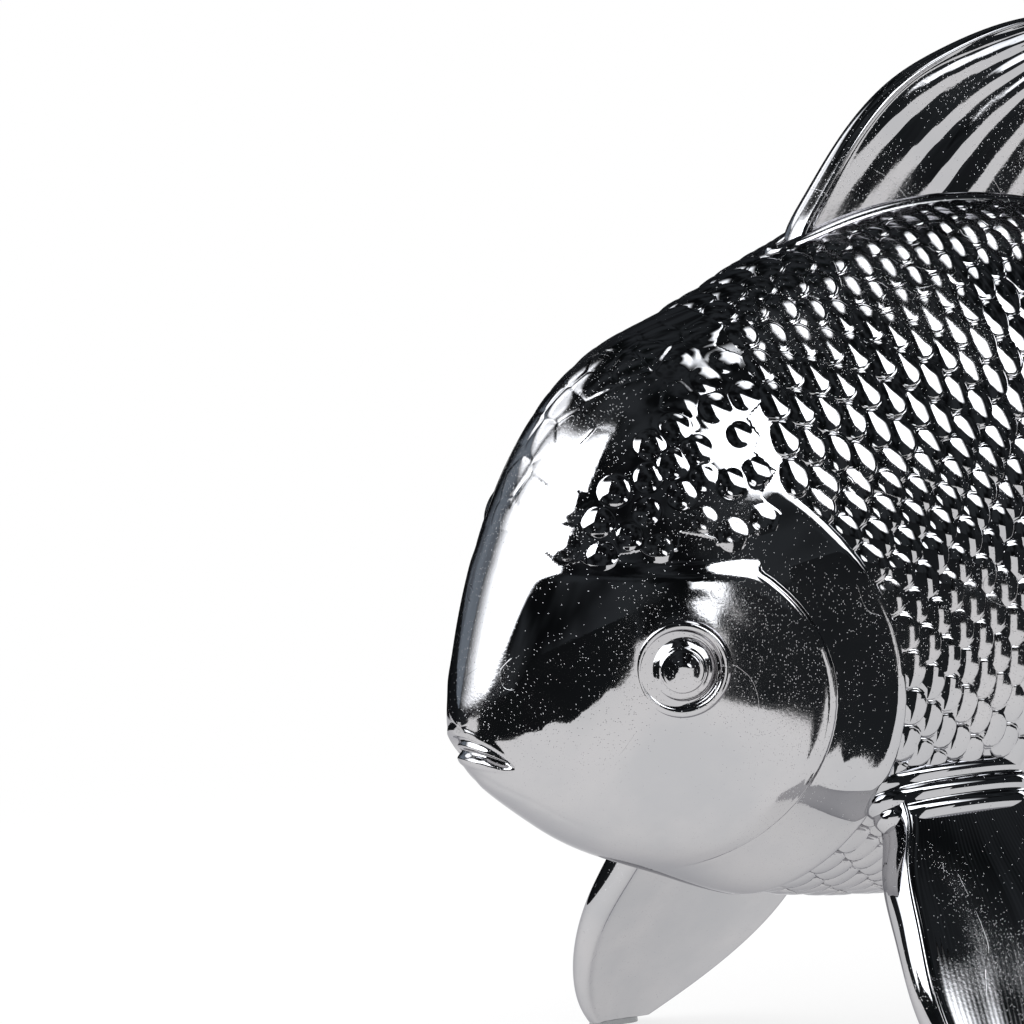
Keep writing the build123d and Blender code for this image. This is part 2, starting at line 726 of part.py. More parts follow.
pieces = {
    "body_left_half": body_left_half,
    "body_right_half": body_right_half,
    "left_eye": left_eye,
    "right_eye": right_eye,
    "dorsal_fin": dorsal_fin,
    "left_pectoral_fin": left_pectoral_fin,
    "right_pectoral_fin": right_pectoral_fin,
    "left_pelvic_fin": left_pelvic_fin,
    "right_pelvic_fin": right_pelvic_fin,
    "anal_fin": anal_fin,
    "left_tail_fin": left_tail_fin,
    "right_tail_fin": right_tail_fin,
    "vent_plug": vent_plug,
    "front_left_foot_pad": front_left_foot_pad,
    "front_right_foot_pad": front_right_foot_pad,
    "rear_left_foot_pad": rear_left_foot_pad,
    "rear_right_foot_pad": rear_right_foot_pad,
}
os.makedirs("parts", exist_ok=True)
for name, piece in pieces.items():
    piece.part.label = name
    export_step(piece.part, "parts/" + name + ".step")
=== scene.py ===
# %% [markdown]
# # A chrome-plated goldfish ornament
# The real fish is cast in resin as two thin shells, bonded on its middle plane, with fins and eyes
# glued into sockets. The whole casting is then plated with bright chrome, so it looks like a mirror
# with scales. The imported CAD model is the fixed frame: every piece made here sits on it, in metres.

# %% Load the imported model
from math import cos, pi, radians, sin

import bmesh
import bpy
import numpy as np
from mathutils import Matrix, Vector


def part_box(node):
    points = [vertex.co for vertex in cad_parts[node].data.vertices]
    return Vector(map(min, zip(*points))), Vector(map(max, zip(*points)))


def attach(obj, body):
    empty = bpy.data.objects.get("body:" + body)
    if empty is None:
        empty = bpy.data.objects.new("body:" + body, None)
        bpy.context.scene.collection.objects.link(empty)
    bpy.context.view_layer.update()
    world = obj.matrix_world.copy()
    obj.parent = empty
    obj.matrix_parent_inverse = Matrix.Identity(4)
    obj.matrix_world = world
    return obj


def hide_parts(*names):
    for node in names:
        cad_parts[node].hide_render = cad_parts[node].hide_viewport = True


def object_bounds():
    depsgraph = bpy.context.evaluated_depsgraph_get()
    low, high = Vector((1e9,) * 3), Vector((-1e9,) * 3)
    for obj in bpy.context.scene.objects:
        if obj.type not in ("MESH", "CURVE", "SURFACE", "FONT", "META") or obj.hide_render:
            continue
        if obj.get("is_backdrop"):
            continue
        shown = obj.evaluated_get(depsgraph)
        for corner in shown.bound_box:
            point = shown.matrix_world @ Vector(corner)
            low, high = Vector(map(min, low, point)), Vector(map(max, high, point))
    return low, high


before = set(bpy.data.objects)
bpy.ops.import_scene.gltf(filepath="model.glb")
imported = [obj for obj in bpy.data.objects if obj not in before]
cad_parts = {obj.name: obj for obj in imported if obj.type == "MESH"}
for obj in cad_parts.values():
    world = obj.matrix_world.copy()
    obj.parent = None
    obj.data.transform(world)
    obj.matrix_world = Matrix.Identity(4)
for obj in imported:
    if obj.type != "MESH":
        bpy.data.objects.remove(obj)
cad_low, cad_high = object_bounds()
mm = 0.001
print("The fish measures", [round(size / mm) for size in cad_high - cad_low], "mm")

# %% [markdown]
# ## Driving sizes
# The body's length comes from the frame. The other sizes are the casting's own, and each section of
# the body is a share of them: along the body, top, bottom, half width and height of the widest
# line.

# %% Name the driving sizes
body_low, body_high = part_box("body_left_half")
snout_x = body_low.x
body_length = body_high.x - snout_x
snout_height = 82 * mm
back_rise = 88 * mm
belly_drop = 44 * mm
body_half_width = 40 * mm
widest_rise = 22 * mm
pad_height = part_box("front_left_foot_pad")[1].z
station_shares = [
    (0.000, 0.034, 0.160, 0.090, -0.09),
    (0.007, 0.080, 0.215, 0.160, -0.09),
    (0.016, 0.176, 0.270, 0.225, -0.07),
    (0.031, 0.312, 0.350, 0.312, 0.00),
    (0.058, 0.470, 0.455, 0.440, 0.09),
    (0.098, 0.620, 0.580, 0.590, 0.23),
    (0.160, 0.745, 0.730, 0.750, 0.36),
    (0.244, 0.825, 0.865, 0.875, 0.46),
    (0.338, 0.930, 0.955, 0.960, 0.59),
    (0.467, 1.000, 1.000, 1.000, 0.73),
    (0.600, 0.975, 0.920, 0.925, 0.86),
    (0.733, 0.850, 0.680, 0.740, 0.95),
    (0.867, 0.650, 0.295, 0.520, 1.00),
    (0.965, 0.520, 0.030, 0.400, 1.00),
    (1.000, 0.460, -0.060, 0.335, 1.00),
]
print("Body", round(body_length / mm, 1), "mm long, snout at x =", round(snout_x / mm, 1), "mm")

# %% [markdown]
# ## Smooth curves through a few values
# A mirror shows every kink, so the body can't be straight between its sections. A natural cubic
# spline keeps the bend continuous, which keeps a reflection continuous. The same helper draws the
# fins' outlines later.

# %% A spline through a few values
def smooth_through(knots, values):
    """Natural cubic spline through the values, as a function that takes an array of places."""
    knots, values = np.asarray(knots, float), np.asarray(values, float)
    count = len(knots)
    gap = np.diff(knots)
    rise = (np.diff(values, axis=0).T / gap).T
    matrix, right = np.eye(count), np.zeros_like(values)
    for row in range(1, count - 1):
        matrix[row, row - 1:row + 2] = gap[row - 1], 2 * (gap[row - 1] + gap[row]), gap[row]
        right[row] = 6 * (rise[row] - rise[row - 1])
    bend = np.linalg.solve(matrix, right)

    def at(place):
        place = np.clip(np.asarray(place, float), knots[0], knots[-1])
        i = np.clip(np.searchsorted(knots, place, side="right") - 1, 0, count - 2)
        tail = (1,) * (values.ndim - 1)
        wide = gap[i].reshape(i.shape + tail)
        left = (place - knots[i]).reshape(i.shape + tail)
        rest = wide - left
        cubic = (bend[i] * rest**3 + bend[i + 1] * left**3) / (6 * wide)
        straight = (values[i] / wide - bend[i] * wide / 6) * rest
        return cubic + straight + (values[i + 1] / wide - bend[i + 1] * wide / 6) * left

    return at


def curve_through(points):
    """Smooth curve through a few points, as a function of the share of its length."""
    points = np.asarray(points, float)
    steps = np.linalg.norm(np.diff(points, axis=0), axis=1)
    places = np.concatenate([[0], np.cumsum(steps)]) / steps.sum()
    return smooth_through(places, points)


def ease(value, start, end):
    """0 below start, 1 above end, and a soft S between."""
    share = np.clip((value - start) / (end - start), 0, 1)
    return share * share * (3 - 2 * share)


def hump(distance, width):
    """A soft bump of height 1, about as wide as width on each side."""
    return np.exp(-((distance / width) ** 2))


def roll_off(distance, radius):
    """Quarter round: 0 at the edge, 1 one radius inside it."""
    return np.sqrt(1 - (1 - np.clip(distance / radius, 0, 1)) ** 2)


print("A hump of width 2 is", round(float(hump(2, 2)), 2), "high at 2")

# %% [markdown]
# ## The skin of the body
# Each section is an oval whose upper and lower radii differ. Stations are read on the square root
# of the share along the body, because a blunt snout opens like a parabola: on that scale its radii
# are nearly straight lines, and rows of equal steps are evenly spaced on the surface.

# %% Points, normals and directions on the skin
station_roots = [row[0] ** 0.5 for row in station_shares]
section_at = smooth_through(station_roots, [row[1:] for row in station_shares])
nose_round, nose_drop = 0.10, 3.4 * mm
tail_round = 0.985
side_blend = 0.25


def skin(share, turn):
    """Points of the skin at shares of the body length and angles above the widest line."""
    share, turn = np.broadcast_arrays(np.asarray(share, float), np.asarray(turn, float))
    root = np.sqrt(np.clip(share, 0, 1))
    top, bottom, half_width, widest = np.moveaxis(section_at(root), -1, 0)
    middle = snout_height + widest_rise * widest
    upper = snout_height + back_rise * top - middle
    lower = middle - snout_height + belly_drop * bottom
    blend = ease(np.sin(turn), -side_blend, side_blend)
    closing = np.sin(np.clip(root / nose_round, 0, 1) * pi / 2)
    stem = np.clip((share - tail_round) / (1 - tail_round), 0, 1)
    closing = closing * np.sqrt(np.clip(1 - stem**2, 0, 1))
    reach = (lower + (upper - lower) * blend) * closing
    nose_middle = snout_height - nose_drop
    middle = nose_middle + (middle - nose_middle) * ease(root, -nose_round, 1.5 * nose_round)
    x = snout_x + body_length * share
    y = -body_half_width * half_width * closing * np.cos(turn)
    return np.stack([x, y, middle + reach * np.sin(turn)], axis=-1)


def skin_frame(share, turn):
    """Points on the skin with the outward normal and the rearward direction there."""
    step = 1e-4
    share = np.clip(share, step, 1 - 2 * step)
    place = skin(share, turn)
    rearward = skin(share + step, turn) - skin(share - step, turn)
    around = skin(share, turn + step) - skin(share, turn - step)
    normal = np.cross(rearward, around)
    normal /= np.linalg.norm(normal, axis=-1, keepdims=True)
    rearward -= normal * np.sum(rearward * normal, axis=-1, keepdims=True)
    rearward /= np.linalg.norm(rearward, axis=-1, keepdims=True)
    return place, normal, rearward


print("Widest half width", round(float(-skin(0.467, 0)[1]) / mm, 1), "mm")

# %% [markdown]
# ## Guide lines of the head
# Two edges cross the side of the head: the rear edge of the cheek plate and the rear edge of the
# gill cover. Both are arcs of a circle in the side view. The rows of the mesh are led along them,
# so that each edge is a crisp line of the mesh and not a staircase.

# %% Where the two edges cross each line of the skin
gill_centre, gill_radius = (18.6 * mm, -5.3 * mm), 56.5 * mm
cheek_centre, cheek_radius = (26.1 * mm, -2.2 * mm), 34.1 * mm
gill_crown, cheek_crown = 40 * mm, 26 * mm
searched = np.linspace(0.03, 0.5, 1200)


def crossing(turn, centre, radius, crown):
    """Share along the body where the skin, at each angle, leaves a circle of the side view."""
    points = skin(searched[:, None], turn[None, :])
    along, up = points[..., 0] - snout_x, points[..., 2] - snout_height
    inside = np.hypot(along - centre[0], up - centre[1]) < radius
    last = len(searched) - 1 - np.argmax(inside[::-1], axis=0)
    crown_share = (centre[0] + np.sqrt(radius**2 - (crown - centre[1]) ** 2)) / body_length
    above = up[last, np.arange(len(turn))] > crown
    early = (np.sin(turn) > 0) & (searched[last] < crown_share)
    return np.where(above | early, crown_share, searched[last])


columns, side_packing = 380, 0.15
even = np.arange(columns) / columns * 2 * pi - pi / 2
turns = even - side_packing * np.sin(2 * even)
cheek_share = crossing(turns, cheek_centre, cheek_radius, cheek_crown)
gill_share = crossing(turns, gill_centre, gill_radius, gill_crown)
gill_range = [round(share * body_length / mm) for share in (gill_share.min(), gill_share.max())]
print("Gill edge from", gill_range[0], "to", gill_range[1], "mm behind the snout")

# %% [markdown]
# ## Relief of the head
# The cheek plate and the gill cover overlap what lies behind them, as scales do: each rises gently
# and rolls over at its rear edge. The eye sits on a low mound, the nostrils are two soft lumps over
# the lip, a shallow fold runs under the chin, and the mouth is a small wedge-shaped recess with a
# lip above and below. All of it is a height above the plain skin, so it stays one closed surface.

# %% Heights of the plates, the eye mound, the nostrils, the chin and the mouth
cover_rise, cover_top = 1.5 * mm, 41.5 * mm
cheek_rise, cheek_width, cheek_round = 1.1 * mm, 26 * mm, 6.0 * mm
cheek_beads = ((0.8, 0.15), (1.6, 0.08))
bead_width = 0.3 * mm
crown_fade, throat_fade = (25 * mm, 28.5 * mm), (-34 * mm, -24 * mm)
eye_share, eye_turn = 0.134, radians(2.3)
eye_place = Vector(skin(eye_share, eye_turn))
eye_mound, mound_fade = 0.2 * mm, (7.5 * mm, 14 * mm)
nostrils = (((6.6, 9.6, 3.6), 3.2, 0.35), ((9.5, 12.2, -1.6), 2.6, 0.6))
chin_line = [
    (1.4, -9), (3.0, -11.2), (6.5, -13.8), (11.4, -16.5), (16.2, -19.3), (23.8, -23), (33.2, -26.6),
]
chin_drop, chin_groove = 0.45 * mm, 0.12 * mm
mouth_depth, mouth_corner, mouth_half = 1.6 * mm, 6.0 * mm, 2.1 * mm
mouth_front, mouth_slope = -6.4 * mm, 3.4 * mm
lip_rise, tongue_rise = 0.2 * mm, 0.6 * mm


def cover_height(to_cheek, to_gill, up):
    """Height of the gill cover, from its distances behind the cheek's edge and to its own edge."""
    cover = ease(-to_cheek, 2 * mm, 24 * mm) * cover_rise * roll_off(to_gill, 3.0 * mm)
    return cover * roll_off(cover_top - up, 1.8 * mm)


def head_relief(points, share):
    """Height above the skin at points of the head, for each column's own edge lines."""
    along, side = points[..., 0] - snout_x, np.abs(points[..., 1])
    up = points[..., 2] - snout_height
    to_cheek = (cheek_share - share) * body_length
    to_gill = (gill_share - share) * body_length
    under_crown = 1 - ease(up, *crown_fade)
    over_throat = ease(up, *throat_fade)

    behind = to_cheek < 0
    height = np.where(behind, cover_height(to_cheek, to_gill, up), 0)
    cheek = hump(to_cheek, cheek_width) * cheek_rise * roll_off(to_cheek, cheek_round)
    bead = sum(hump(to_cheek - away * mm, bead_width) * rise * mm for away, rise in cheek_beads)
    height += np.where(behind, 0, (cheek + bead) * under_crown * over_throat)

    flat = points * np.array([1, 0, 1]) + np.array([0, -1, 0]) * side[..., None]
    to_eye = np.linalg.norm(flat - np.array(eye_place), axis=-1)
    height += eye_mound * (1 - ease(to_eye, *mound_fade))

    for place, width, rise in nostrils:
        apart = np.stack([along, side, up], axis=-1) - np.array(place) * mm
        height += rise * mm * hump(np.linalg.norm(apart, axis=-1), width * mm)

    fold = np.array(chin_line) * mm
    under_fold = np.interp(along, fold[:, 0], fold[:, 1]) - up
    under_chin = (1 - ease(along, 12 * mm, 32 * mm)) * ease(along, 0.5 * mm, 3 * mm)
    height -= chin_drop * ease(under_fold, 0, 3.5 * mm) * under_chin
    height -= chin_groove * hump(under_fold - 0.3 * mm, 0.4 * mm) * under_chin

    share_in = np.clip(along / mouth_corner, 0, 1)
    half = mouth_half * np.sqrt(np.clip(1 - share_in, 0.02, 1))
    apart = (up - (mouth_front - mouth_slope * share_in)) / half
    open_front = 1 - ease(along, 0.8 * mouth_corner, 1.1 * mouth_corner)
    height -= mouth_depth * (1 - ease(np.abs(apart), 0.55, 1.0)) * open_front
    height += lip_rise * hump(np.abs(apart) - 1.35, 0.35) * open_front
    height += tongue_rise * hump(apart + 0.1, 0.3) * open_front
    return height


print("The eye is at", [round(value / mm, 1) for value in eye_place], "mm")

# %% [markdown]
# ## Small helpers for meshes
# Every piece is a list of points in the frame's own metres and a list of faces. A stack of rings
# with a pole at each end is a closed skin, and covers the body, the eyes and the collars.

# %% Helpers that build a piece
def grid_faces(rows, across, wrap=False):
    """Faces between the points of a grid; wrap joins its last column to the first."""
    last = across if wrap else across - 1
    i, j = np.meshgrid(np.arange(rows - 1), np.arange(last), indexing="ij")
    here = i * across + j
    beside = i * across + (j + 1) % across
    return np.stack([here, beside, beside + across, here + across], axis=-1).reshape(-1, 4).tolist()


def new_object(name, data):
    """Object that is linked to the scene."""
    made = bpy.data.objects.new(name, data)
    bpy.context.scene.collection.objects.link(made)
    return made


def bare_object(name, points, faces, uv=None):
    """Smooth-shaded mesh object with merged doubles and faces that point outwards."""
    mesh = bpy.data.meshes.new(name)
    mesh.from_pydata(np.asarray(points, float).tolist(), [], faces)
    if uv is not None:
        corners = np.zeros(len(mesh.loops), int)
        mesh.loops.foreach_get("vertex_index", corners)
        layer = mesh.uv_layers.new(name="along_the_rays")
        layer.data.foreach_set("uv", np.asarray(uv, float)[corners].ravel())
    work = bmesh.new()
    work.from_mesh(mesh)
    bmesh.ops.remove_doubles(work, verts=work.verts, dist=1e-7)
    bmesh.ops.recalc_face_normals(work, faces=work.faces)
    work.to_mesh(mesh)
    work.free()
    mesh.polygons.foreach_set("use_smooth", [True] * len(mesh.polygons))
    return new_object(name, mesh)


def ring_stack(name, rings):
    """Closed skin over a stack of rings, with a pole in the middle of the first and the last."""
    rings = np.asarray(rings, float)
    rows, across = rings.shape[:2]
    points = rings.reshape(-1, 3)
    poles = np.stack([rings[0].mean(axis=0), rings[-1].mean(axis=0)])
    faces = grid_faces(rows, across, wrap=True)
    first, last = rows * across, rows * across + 1
    for j in range(across):
        nxt = (j + 1) % across
        faces.append([first, nxt, j])
        faces.append([last, (rows - 1) * across + j, (rows - 1) * across + nxt])
    return bare_object(name, np.concatenate([points, poles]), faces)


def settle(piece, finish, stands_for=()):
    """Gives a finished piece its material, and ties it to the frame."""
    piece.data.materials.clear()
    piece.data.materials.append(finish)
    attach(piece, "root")
    if stands_for:
        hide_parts(*stands_for)
    triangles = sum(len(face.vertices) - 2 for face in piece.data.polygons)
    print(piece.name, "has", triangles, "triangles")


# %% [markdown]
# ## Shader sums as Python expressions
# A node tree for a finish is mostly sums. The class below wraps a node's output, so that a sum can
# be written as a line of Python, and each operator adds its own Math node. The bench adds any other
# node: its settings first, then the values or links of its inputs.

# %% The bench that node trees are built on
class Value:
    """Output of a node, for use in sums."""

    def __init__(self, bench, socket):
        self.bench, self.socket = bench, socket

    def __add__(self, other):
        return self.bench.sum("ADD", self, other)

    def __sub__(self, other):
        return self.bench.sum("SUBTRACT", self, other)

    def __rsub__(self, other):
        return self.bench.sum("SUBTRACT", other, self)

    def __mul__(self, other):
        return self.bench.sum("MULTIPLY", self, other)

    def __gt__(self, other):
        return self.bench.sum("GREATER_THAN", self, other)

    __radd__, __rmul__ = __add__, __mul__


class Bench:
    """A node tree in the making, for a material or a Geometry Nodes group."""

    def __init__(self, tree, end_kind):
        self.tree, self.end = tree, tree.nodes.new(end_kind)

    def add(self, kind, sockets=(), out=0, **settings):
        """Adds a node and returns one of its outputs, by name or number."""
        node = self.tree.nodes.new(kind)
        for name, value in settings.items():
            setattr(node, name, value)
        for name, value in dict(sockets).items():
            target = self.pick(node.inputs, name)
            if isinstance(value, Value):
                self.tree.links.new(value.socket, target)
            else:
                target.default_value = value
        return Value(self, self.pick(node.outputs, out))

    def pick(self, sockets, name):
        """The socket of that name or number that is in use with the node's settings."""
        if isinstance(name, int):
            return sockets[name]
        return [socket for socket in sockets if socket.enabled and socket.name == name][0]

    def other(self, value, out):
        """Another output of the node that a value comes from."""
        return Value(self, self.pick(value.socket.node.outputs, out))

    def sum(self, operation, left, right):
        return self.add("ShaderNodeMath", {0: left, 1: right}, operation=operation)

    def step(self, value, start, end, low=0.0, high=1.0):
        """Soft step from low to high as the value goes from start to end."""
        ends = {"From Min": start, "From Max": end, "To Min": low, "To Max": high}
        sockets = {"Value": value, **ends}
        return self.add("ShaderNodeMapRange", sockets, interpolation_type="SMOOTHSTEP")

    def noise(self, place, scale, detail, distortion=0.0):
        """Noise with about scale patches in a metre."""
        sockets = {"Vector": place, "Scale": scale, "Detail": detail, "Distortion": distortion}
        return self.add("ShaderNodeTexNoise", sockets)

    def blend(self, share, first, second):
        """Mix of two colours."""
        sockets = {"Factor": share, "A": first, "B": second}
        return self.add("ShaderNodeMix", sockets, "Result", data_type="RGBA")

    def bump(self, height, distance, strength=1.0):
        """Normal of a surface with a fine relief."""
        sockets = {"Strength": strength, "Distance": distance, "Height": height}
        return self.add("ShaderNodeBump", sockets)

    def map_u(self):
        """Place along the piece's own map."""
        own = self.add("ShaderNodeUVMap", uv_map="along_the_rays")
        return self.add("ShaderNodeSeparateXYZ", {"Vector": own}, "X")

    def finish(self, value):
        """Ends the tree with a value."""
        self.tree.links.new(value.socket, self.end.inputs[0])


def new_finish(name):
    """Empty material, its bench and the place on the piece, in metres."""
    material = bpy.data.materials.new(name)
    material.use_nodes = True
    material.node_tree.nodes.clear()
    bench = Bench(material.node_tree, "ShaderNodeOutputMaterial")
    return material, bench, bench.add("ShaderNodeTexCoord", out="Object")


print("The bench is ready")

# %% [markdown]
# ## Bright chrome
# Decorative chrome is a thin metal plate over a polished casting: a mirror of a neutral grey. What
# makes it real is what is wrong with it: a faint waviness from the casting, tiny pits and dust that
# sparkle in the dark reflections, a few hairline scratches, and cloudy patches where the polish is
# a little dull.

# %% Chrome, with or without the fine rays of a fin
chrome_colour = (0.560, 0.550, 0.560, 1)
chrome_shadow = (0.500, 0.500, 0.515, 1)
chrome_edge = (0.58, 0.58, 0.60, 1)
wave_scale, cloud_scale, thread_scale = 150.0, 42.0, 28.0
speck_scale, grain_scale = 2600.0, 1700.0
wave_depth, scratch_depth, grain_depth, ray_depth = 0.35, 0.5, 0.3, 0.06
scratch_edge = (0.0008, 0.0022)
bump_height = 0.00003


def chrome_finish(name, rays=0.0):
    """Chrome plate; rays is the number of fine rays across the piece's own map, or 0 for none."""
    material, bench, place = new_finish(name)
    wave = bench.noise(place, wave_scale, 2.0)
    cloud = bench.noise(place, cloud_scale, 4.0)
    cells = bench.add("ShaderNodeTexVoronoi", {"Vector": place, "Scale": speck_scale}, "Distance")
    chance = bench.add("ShaderNodeSeparateColor", {"Color": bench.other(cells, "Color")})
    grain = bench.noise(place, grain_scale, 2.0)
    dusty = bench.step(cloud, 0.40, 0.62)
    speck = (1 - bench.step(cells, 0.08, 0.28)) * (chance > 0.95 - dusty * 0.45)
    thread = bench.noise(place, thread_scale, 1.0, 1.4)
    line = 1 - bench.step(bench.sum("ABSOLUTE", thread - 0.5, 0.0), *scratch_edge)
    hairline = line * bench.step(cloud, 0.52, 0.60)
    height = wave * wave_depth + speck - hairline * scratch_depth + grain * dusty * grain_depth
    if rays:
        ridge = bench.sum("SINE", bench.map_u() * (rays * 2 * pi) + cloud * 3.0, 0.0)
        height = height + ridge * ray_depth
    dullness = bench.step(cloud, 0.42, 0.75, 0.02, 0.10)
    sockets = {
        "Base Color": bench.blend(bench.step(cloud, 0.35, 0.65), chrome_shadow, chrome_colour),
        "Metallic": 1.0,
        "Specular Tint": chrome_edge,
        "Roughness": dullness + speck * 0.15 + grain * dusty * 0.07,
        "Normal": bench.bump(height, bump_height),
    }
    bench.finish(bench.add("ShaderNodeBsdfPrincipled", sockets))
    return material


chrome = chrome_finish("chrome_plate")
fin_chrome = chrome_finish("chrome_plate_rayed", rays=46.0)
print("Finishes:", chrome.name, "and", fin_chrome.name)

# %% [markdown]
# ## The body
# The two shells are bonded and the seam is filled and plated over, so the visible body is one
# closed skin. Rows run from the snout to the cheek's edge, from there to the gill cover's edge, and
# on to the stem of the tail. The gill cover ends in a small step down to the skin behind it.

# %% Build the body's skin with its relief
cheek_rows, cover_rows, trunk_rows = 146, 46, 58
edge_drop, edge_share = 0.3 * mm, 0.0008
front_part = np.linspace(0.0105, 1, cheek_rows)[:, None]
front_part = np.sqrt(cheek_share) * (1.15 * front_part - 0.15 * front_part**6)
cover_part = np.linspace(0, 1, cover_rows + 1)[1:, None]
cover_part = cover_part + np.sin(2 * pi * cover_part) * -0.06
trunk_part = np.linspace(0, 1, trunk_rows + 1)[1:, None]
shares = np.concatenate([
    front_part**2,
    cheek_share + (gill_share - cheek_share) * cover_part,
    gill_share + edge_share + (1 - gill_share - edge_share) * trunk_part ** 1.1,
])
_, normal, _ = skin_frame(shares, turns[None, :])
place = skin(shares, turns[None, :])
heads = cheek_rows + cover_rows
relief = np.full(shares.shape, -edge_drop)
relief[:heads] = head_relief(place[:heads], shares[:heads])
relief[0] = relief[1].mean()
relief[heads:] *= ease(1 - shares[heads:], 0, 0.02)
points = place + normal * relief[..., None]
points[..., 0] = np.maximum(points[..., 0], snout_x)
body = ring_stack("body_skin", points)
settle(body, chrome, stands_for=("body_left_half", "body_right_half"))

# %% [markdown]
# ## Eyes
# Each eye is a cast dome with a raised pupil, glued into a ringed socket. Both are turned parts, so
# a profile is spun about the axis that the eye looks along. The ring has two ridges with a groove.
# What comes in pairs is built for the left side, and flipped over the middle plane for the right.

# %% Spin the sockets' rings and the eyes
mirrored = np.array([1, -1, 1])
sides = (("left", np.array([1, 1, 1])), ("right", mirrored))
eye_turned = radians(31)
ring_profile = [
    (9.5, -1.6), (9.25, -0.5), (8.95, 0.35), (8.55, 0.85), (8.1, 1.05), (7.6, 1.0), (7.2, 0.7),
    (6.95, 0.45), (6.75, 0.35), (6.5, 0.3), (6.3, 0.0), (6.15, -0.8), (5.0, -1.6),
]
eye_profile = [
    (6.3, -1.0), (6.2, -0.2), (6.0, 0.3), (5.6, 0.8), (5.1, 1.2), (4.6, 1.52), (4.3, 1.72),
    (4.05, 2.0), (3.8, 2.15), (3.4, 2.22), (2.9, 2.34), (2.3, 2.52), (1.7, 2.68), (1.0, 2.8),
    (0.3, 2.84),
]


def spin(name, profile, centre, outward, count=96, finer=4):
    """Turned piece: a profile of radius and height (mm) spun about an axis through centre."""
    line = curve_through(np.array(profile) * mm)(np.linspace(0, 1, len(profile) * finer))
    across = np.cross(outward, (0, 0, 1.0))
    across /= np.linalg.norm(across)
    upward = np.cross(across, outward)
    angle = np.arange(count) / count * 2 * pi
    spoke = np.cos(angle)[:, None] * across + np.sin(angle)[:, None] * upward
    return ring_stack(name, centre + line[:, :1, None] * spoke + line[:, 1:, None] * outward)


for word, flip in sides:
    centre = np.array(eye_place) * flip
    outward = np.array([-sin(eye_turned), -cos(eye_turned), 0]) * flip
    settle(spin(word + "_eye_ring", ring_profile, centre, outward), chrome)
    dome = spin(word + "_eye_dome", eye_profile, centre, outward)
    settle(dome, chrome, stands_for=(word + "_eye",))

# %% [markdown]
# ## Fins
# A cast fin is a thin blade with rays. Its side outline has four edges: the leading edge, the
# trailing edge, the root and the margin. A Coons patch fills the four edges, and its lines from the
# root to the margin fan out just as rays do. The thickness swells along each ray, the leading edge
# is a thick roll, and all edges are rounded off.

# %% The blade of a fin
def fin_edges(lead, trail, chord, reach, between=()):
    """Four edge curves, from points in shares of a chord and a reach; root and margin join them."""
    root, margin = [lead[0], trail[0]], [lead[-1], *between, trail[-1]]
    scale = np.array([chord, reach])
    return [curve_through(np.array(points) * scale) for points in (lead, trail, root, margin)]


fin_rows, tip_round, root_round = 90, 0.7, 0.03


def fin_blade(fin, place, chord_way, out_way, edges, thick, rays, rise, roll, bend=0, stand=None,
              sweep=0.0):
    """Closed blade; edges are four curves in (chord, out) metres, each a function of a share."""
    lead, trail, root, margin = edges
    across = (1 - np.cos(np.linspace(0, pi, 25 * rays // 2 + 41))) / 2
    out = np.sin(np.linspace(0, pi / 2, fin_rows))
    u, v = np.meshgrid(across, out)
    a, b = u[..., None], v[..., None]
    flat = (1 - a) * lead(v) + a * trail(v)
    flat += (1 - b) * root(u) + b * margin(u)
    corners = (1 - a) * (1 - b) * lead(0.0) + a * b * margin(1.0)
    corners += a * (1 - b) * trail(0.0) + (1 - a) * b * margin(0.0)
    flat -= corners
    chord_way, out_way = np.array(chord_way, float), np.array(out_way, float)
    normal = np.cross(chord_way, out_way)
    wide = np.linalg.norm(flat[:, -1] - flat[:, 0], axis=-1)[:, None]
    tall = np.linalg.norm(margin(u) - root(u), axis=-1)
    from_lead, from_trail, from_margin = u * wide, (1 - u) * wide, (1 - v) * tall
    half = (thick[0] + (thick[1] - thick[0]) * ease(v, 0, 1)) / 2
    ridge = np.cos(2 * pi * rays * (u - sweep * v + 0.012 * np.sin(5 * v + 9 * u)))
    broken = 0.75 + 0.45 * np.sin(6.0 * v + 11.0 * u) * np.sin(17.0 * u - 3.0 * v)
    fading = ease(v, 0.02, 0.4) * ease(from_lead, roll, 2.5 * roll)
    half = half + rise * ridge * broken * fading
    half = half + 0.35 * roll * hump(from_lead - roll, 0.8 * roll)
    edge = thick[1] * tip_round
    half = half * roll_off(from_lead, 1.2 * roll) * roll_off(from_trail, edge)
    half = half * roll_off(from_margin, edge) * roll_off(v, root_round)
    sway = bend * np.sin(pi * v) * np.sin(pi * u)
    sway = sway + 0.5 * rise * np.sin(3 * pi * u + 4 * v) * ease(v, 0, 0.5)
    middle = np.array(place) + flat[..., :1] * chord_way + flat[..., 1:] * out_way
    points = np.stack([middle + normal * (sway + way * half)[..., None] for way in (1, -1)])
    if stand is not None:
        points[..., 2] = np.maximum(points[..., 2], stand)
    faces = grid_faces(*u.shape)
    other = [[corner + u.size for corner in reversed(face)] for face in faces]
    map_uv = np.stack([u, v], axis=-1).reshape(-1, 2)
    map_uv = np.concatenate([map_uv, map_uv])
    blade = bare_object(fin + "_blade", points.reshape(-1, 3), faces + other, map_uv)
    settle(blade, fin_chrome, stands_for=(fin + "_fin",))


def fin_pair(fin, place, chord_way, out_way, edges, bend=0, **rest):
    """A fin on the left side, and its mirror image on the right."""
    for word, flip in sides:
        fin_blade(word + "_" + fin, place * flip, chord_way * flip, out_way * flip, edges,
                  bend=-flip[1] * bend, **rest)


forward = np.array([1, 0, 0])
print("Fins can be cut")

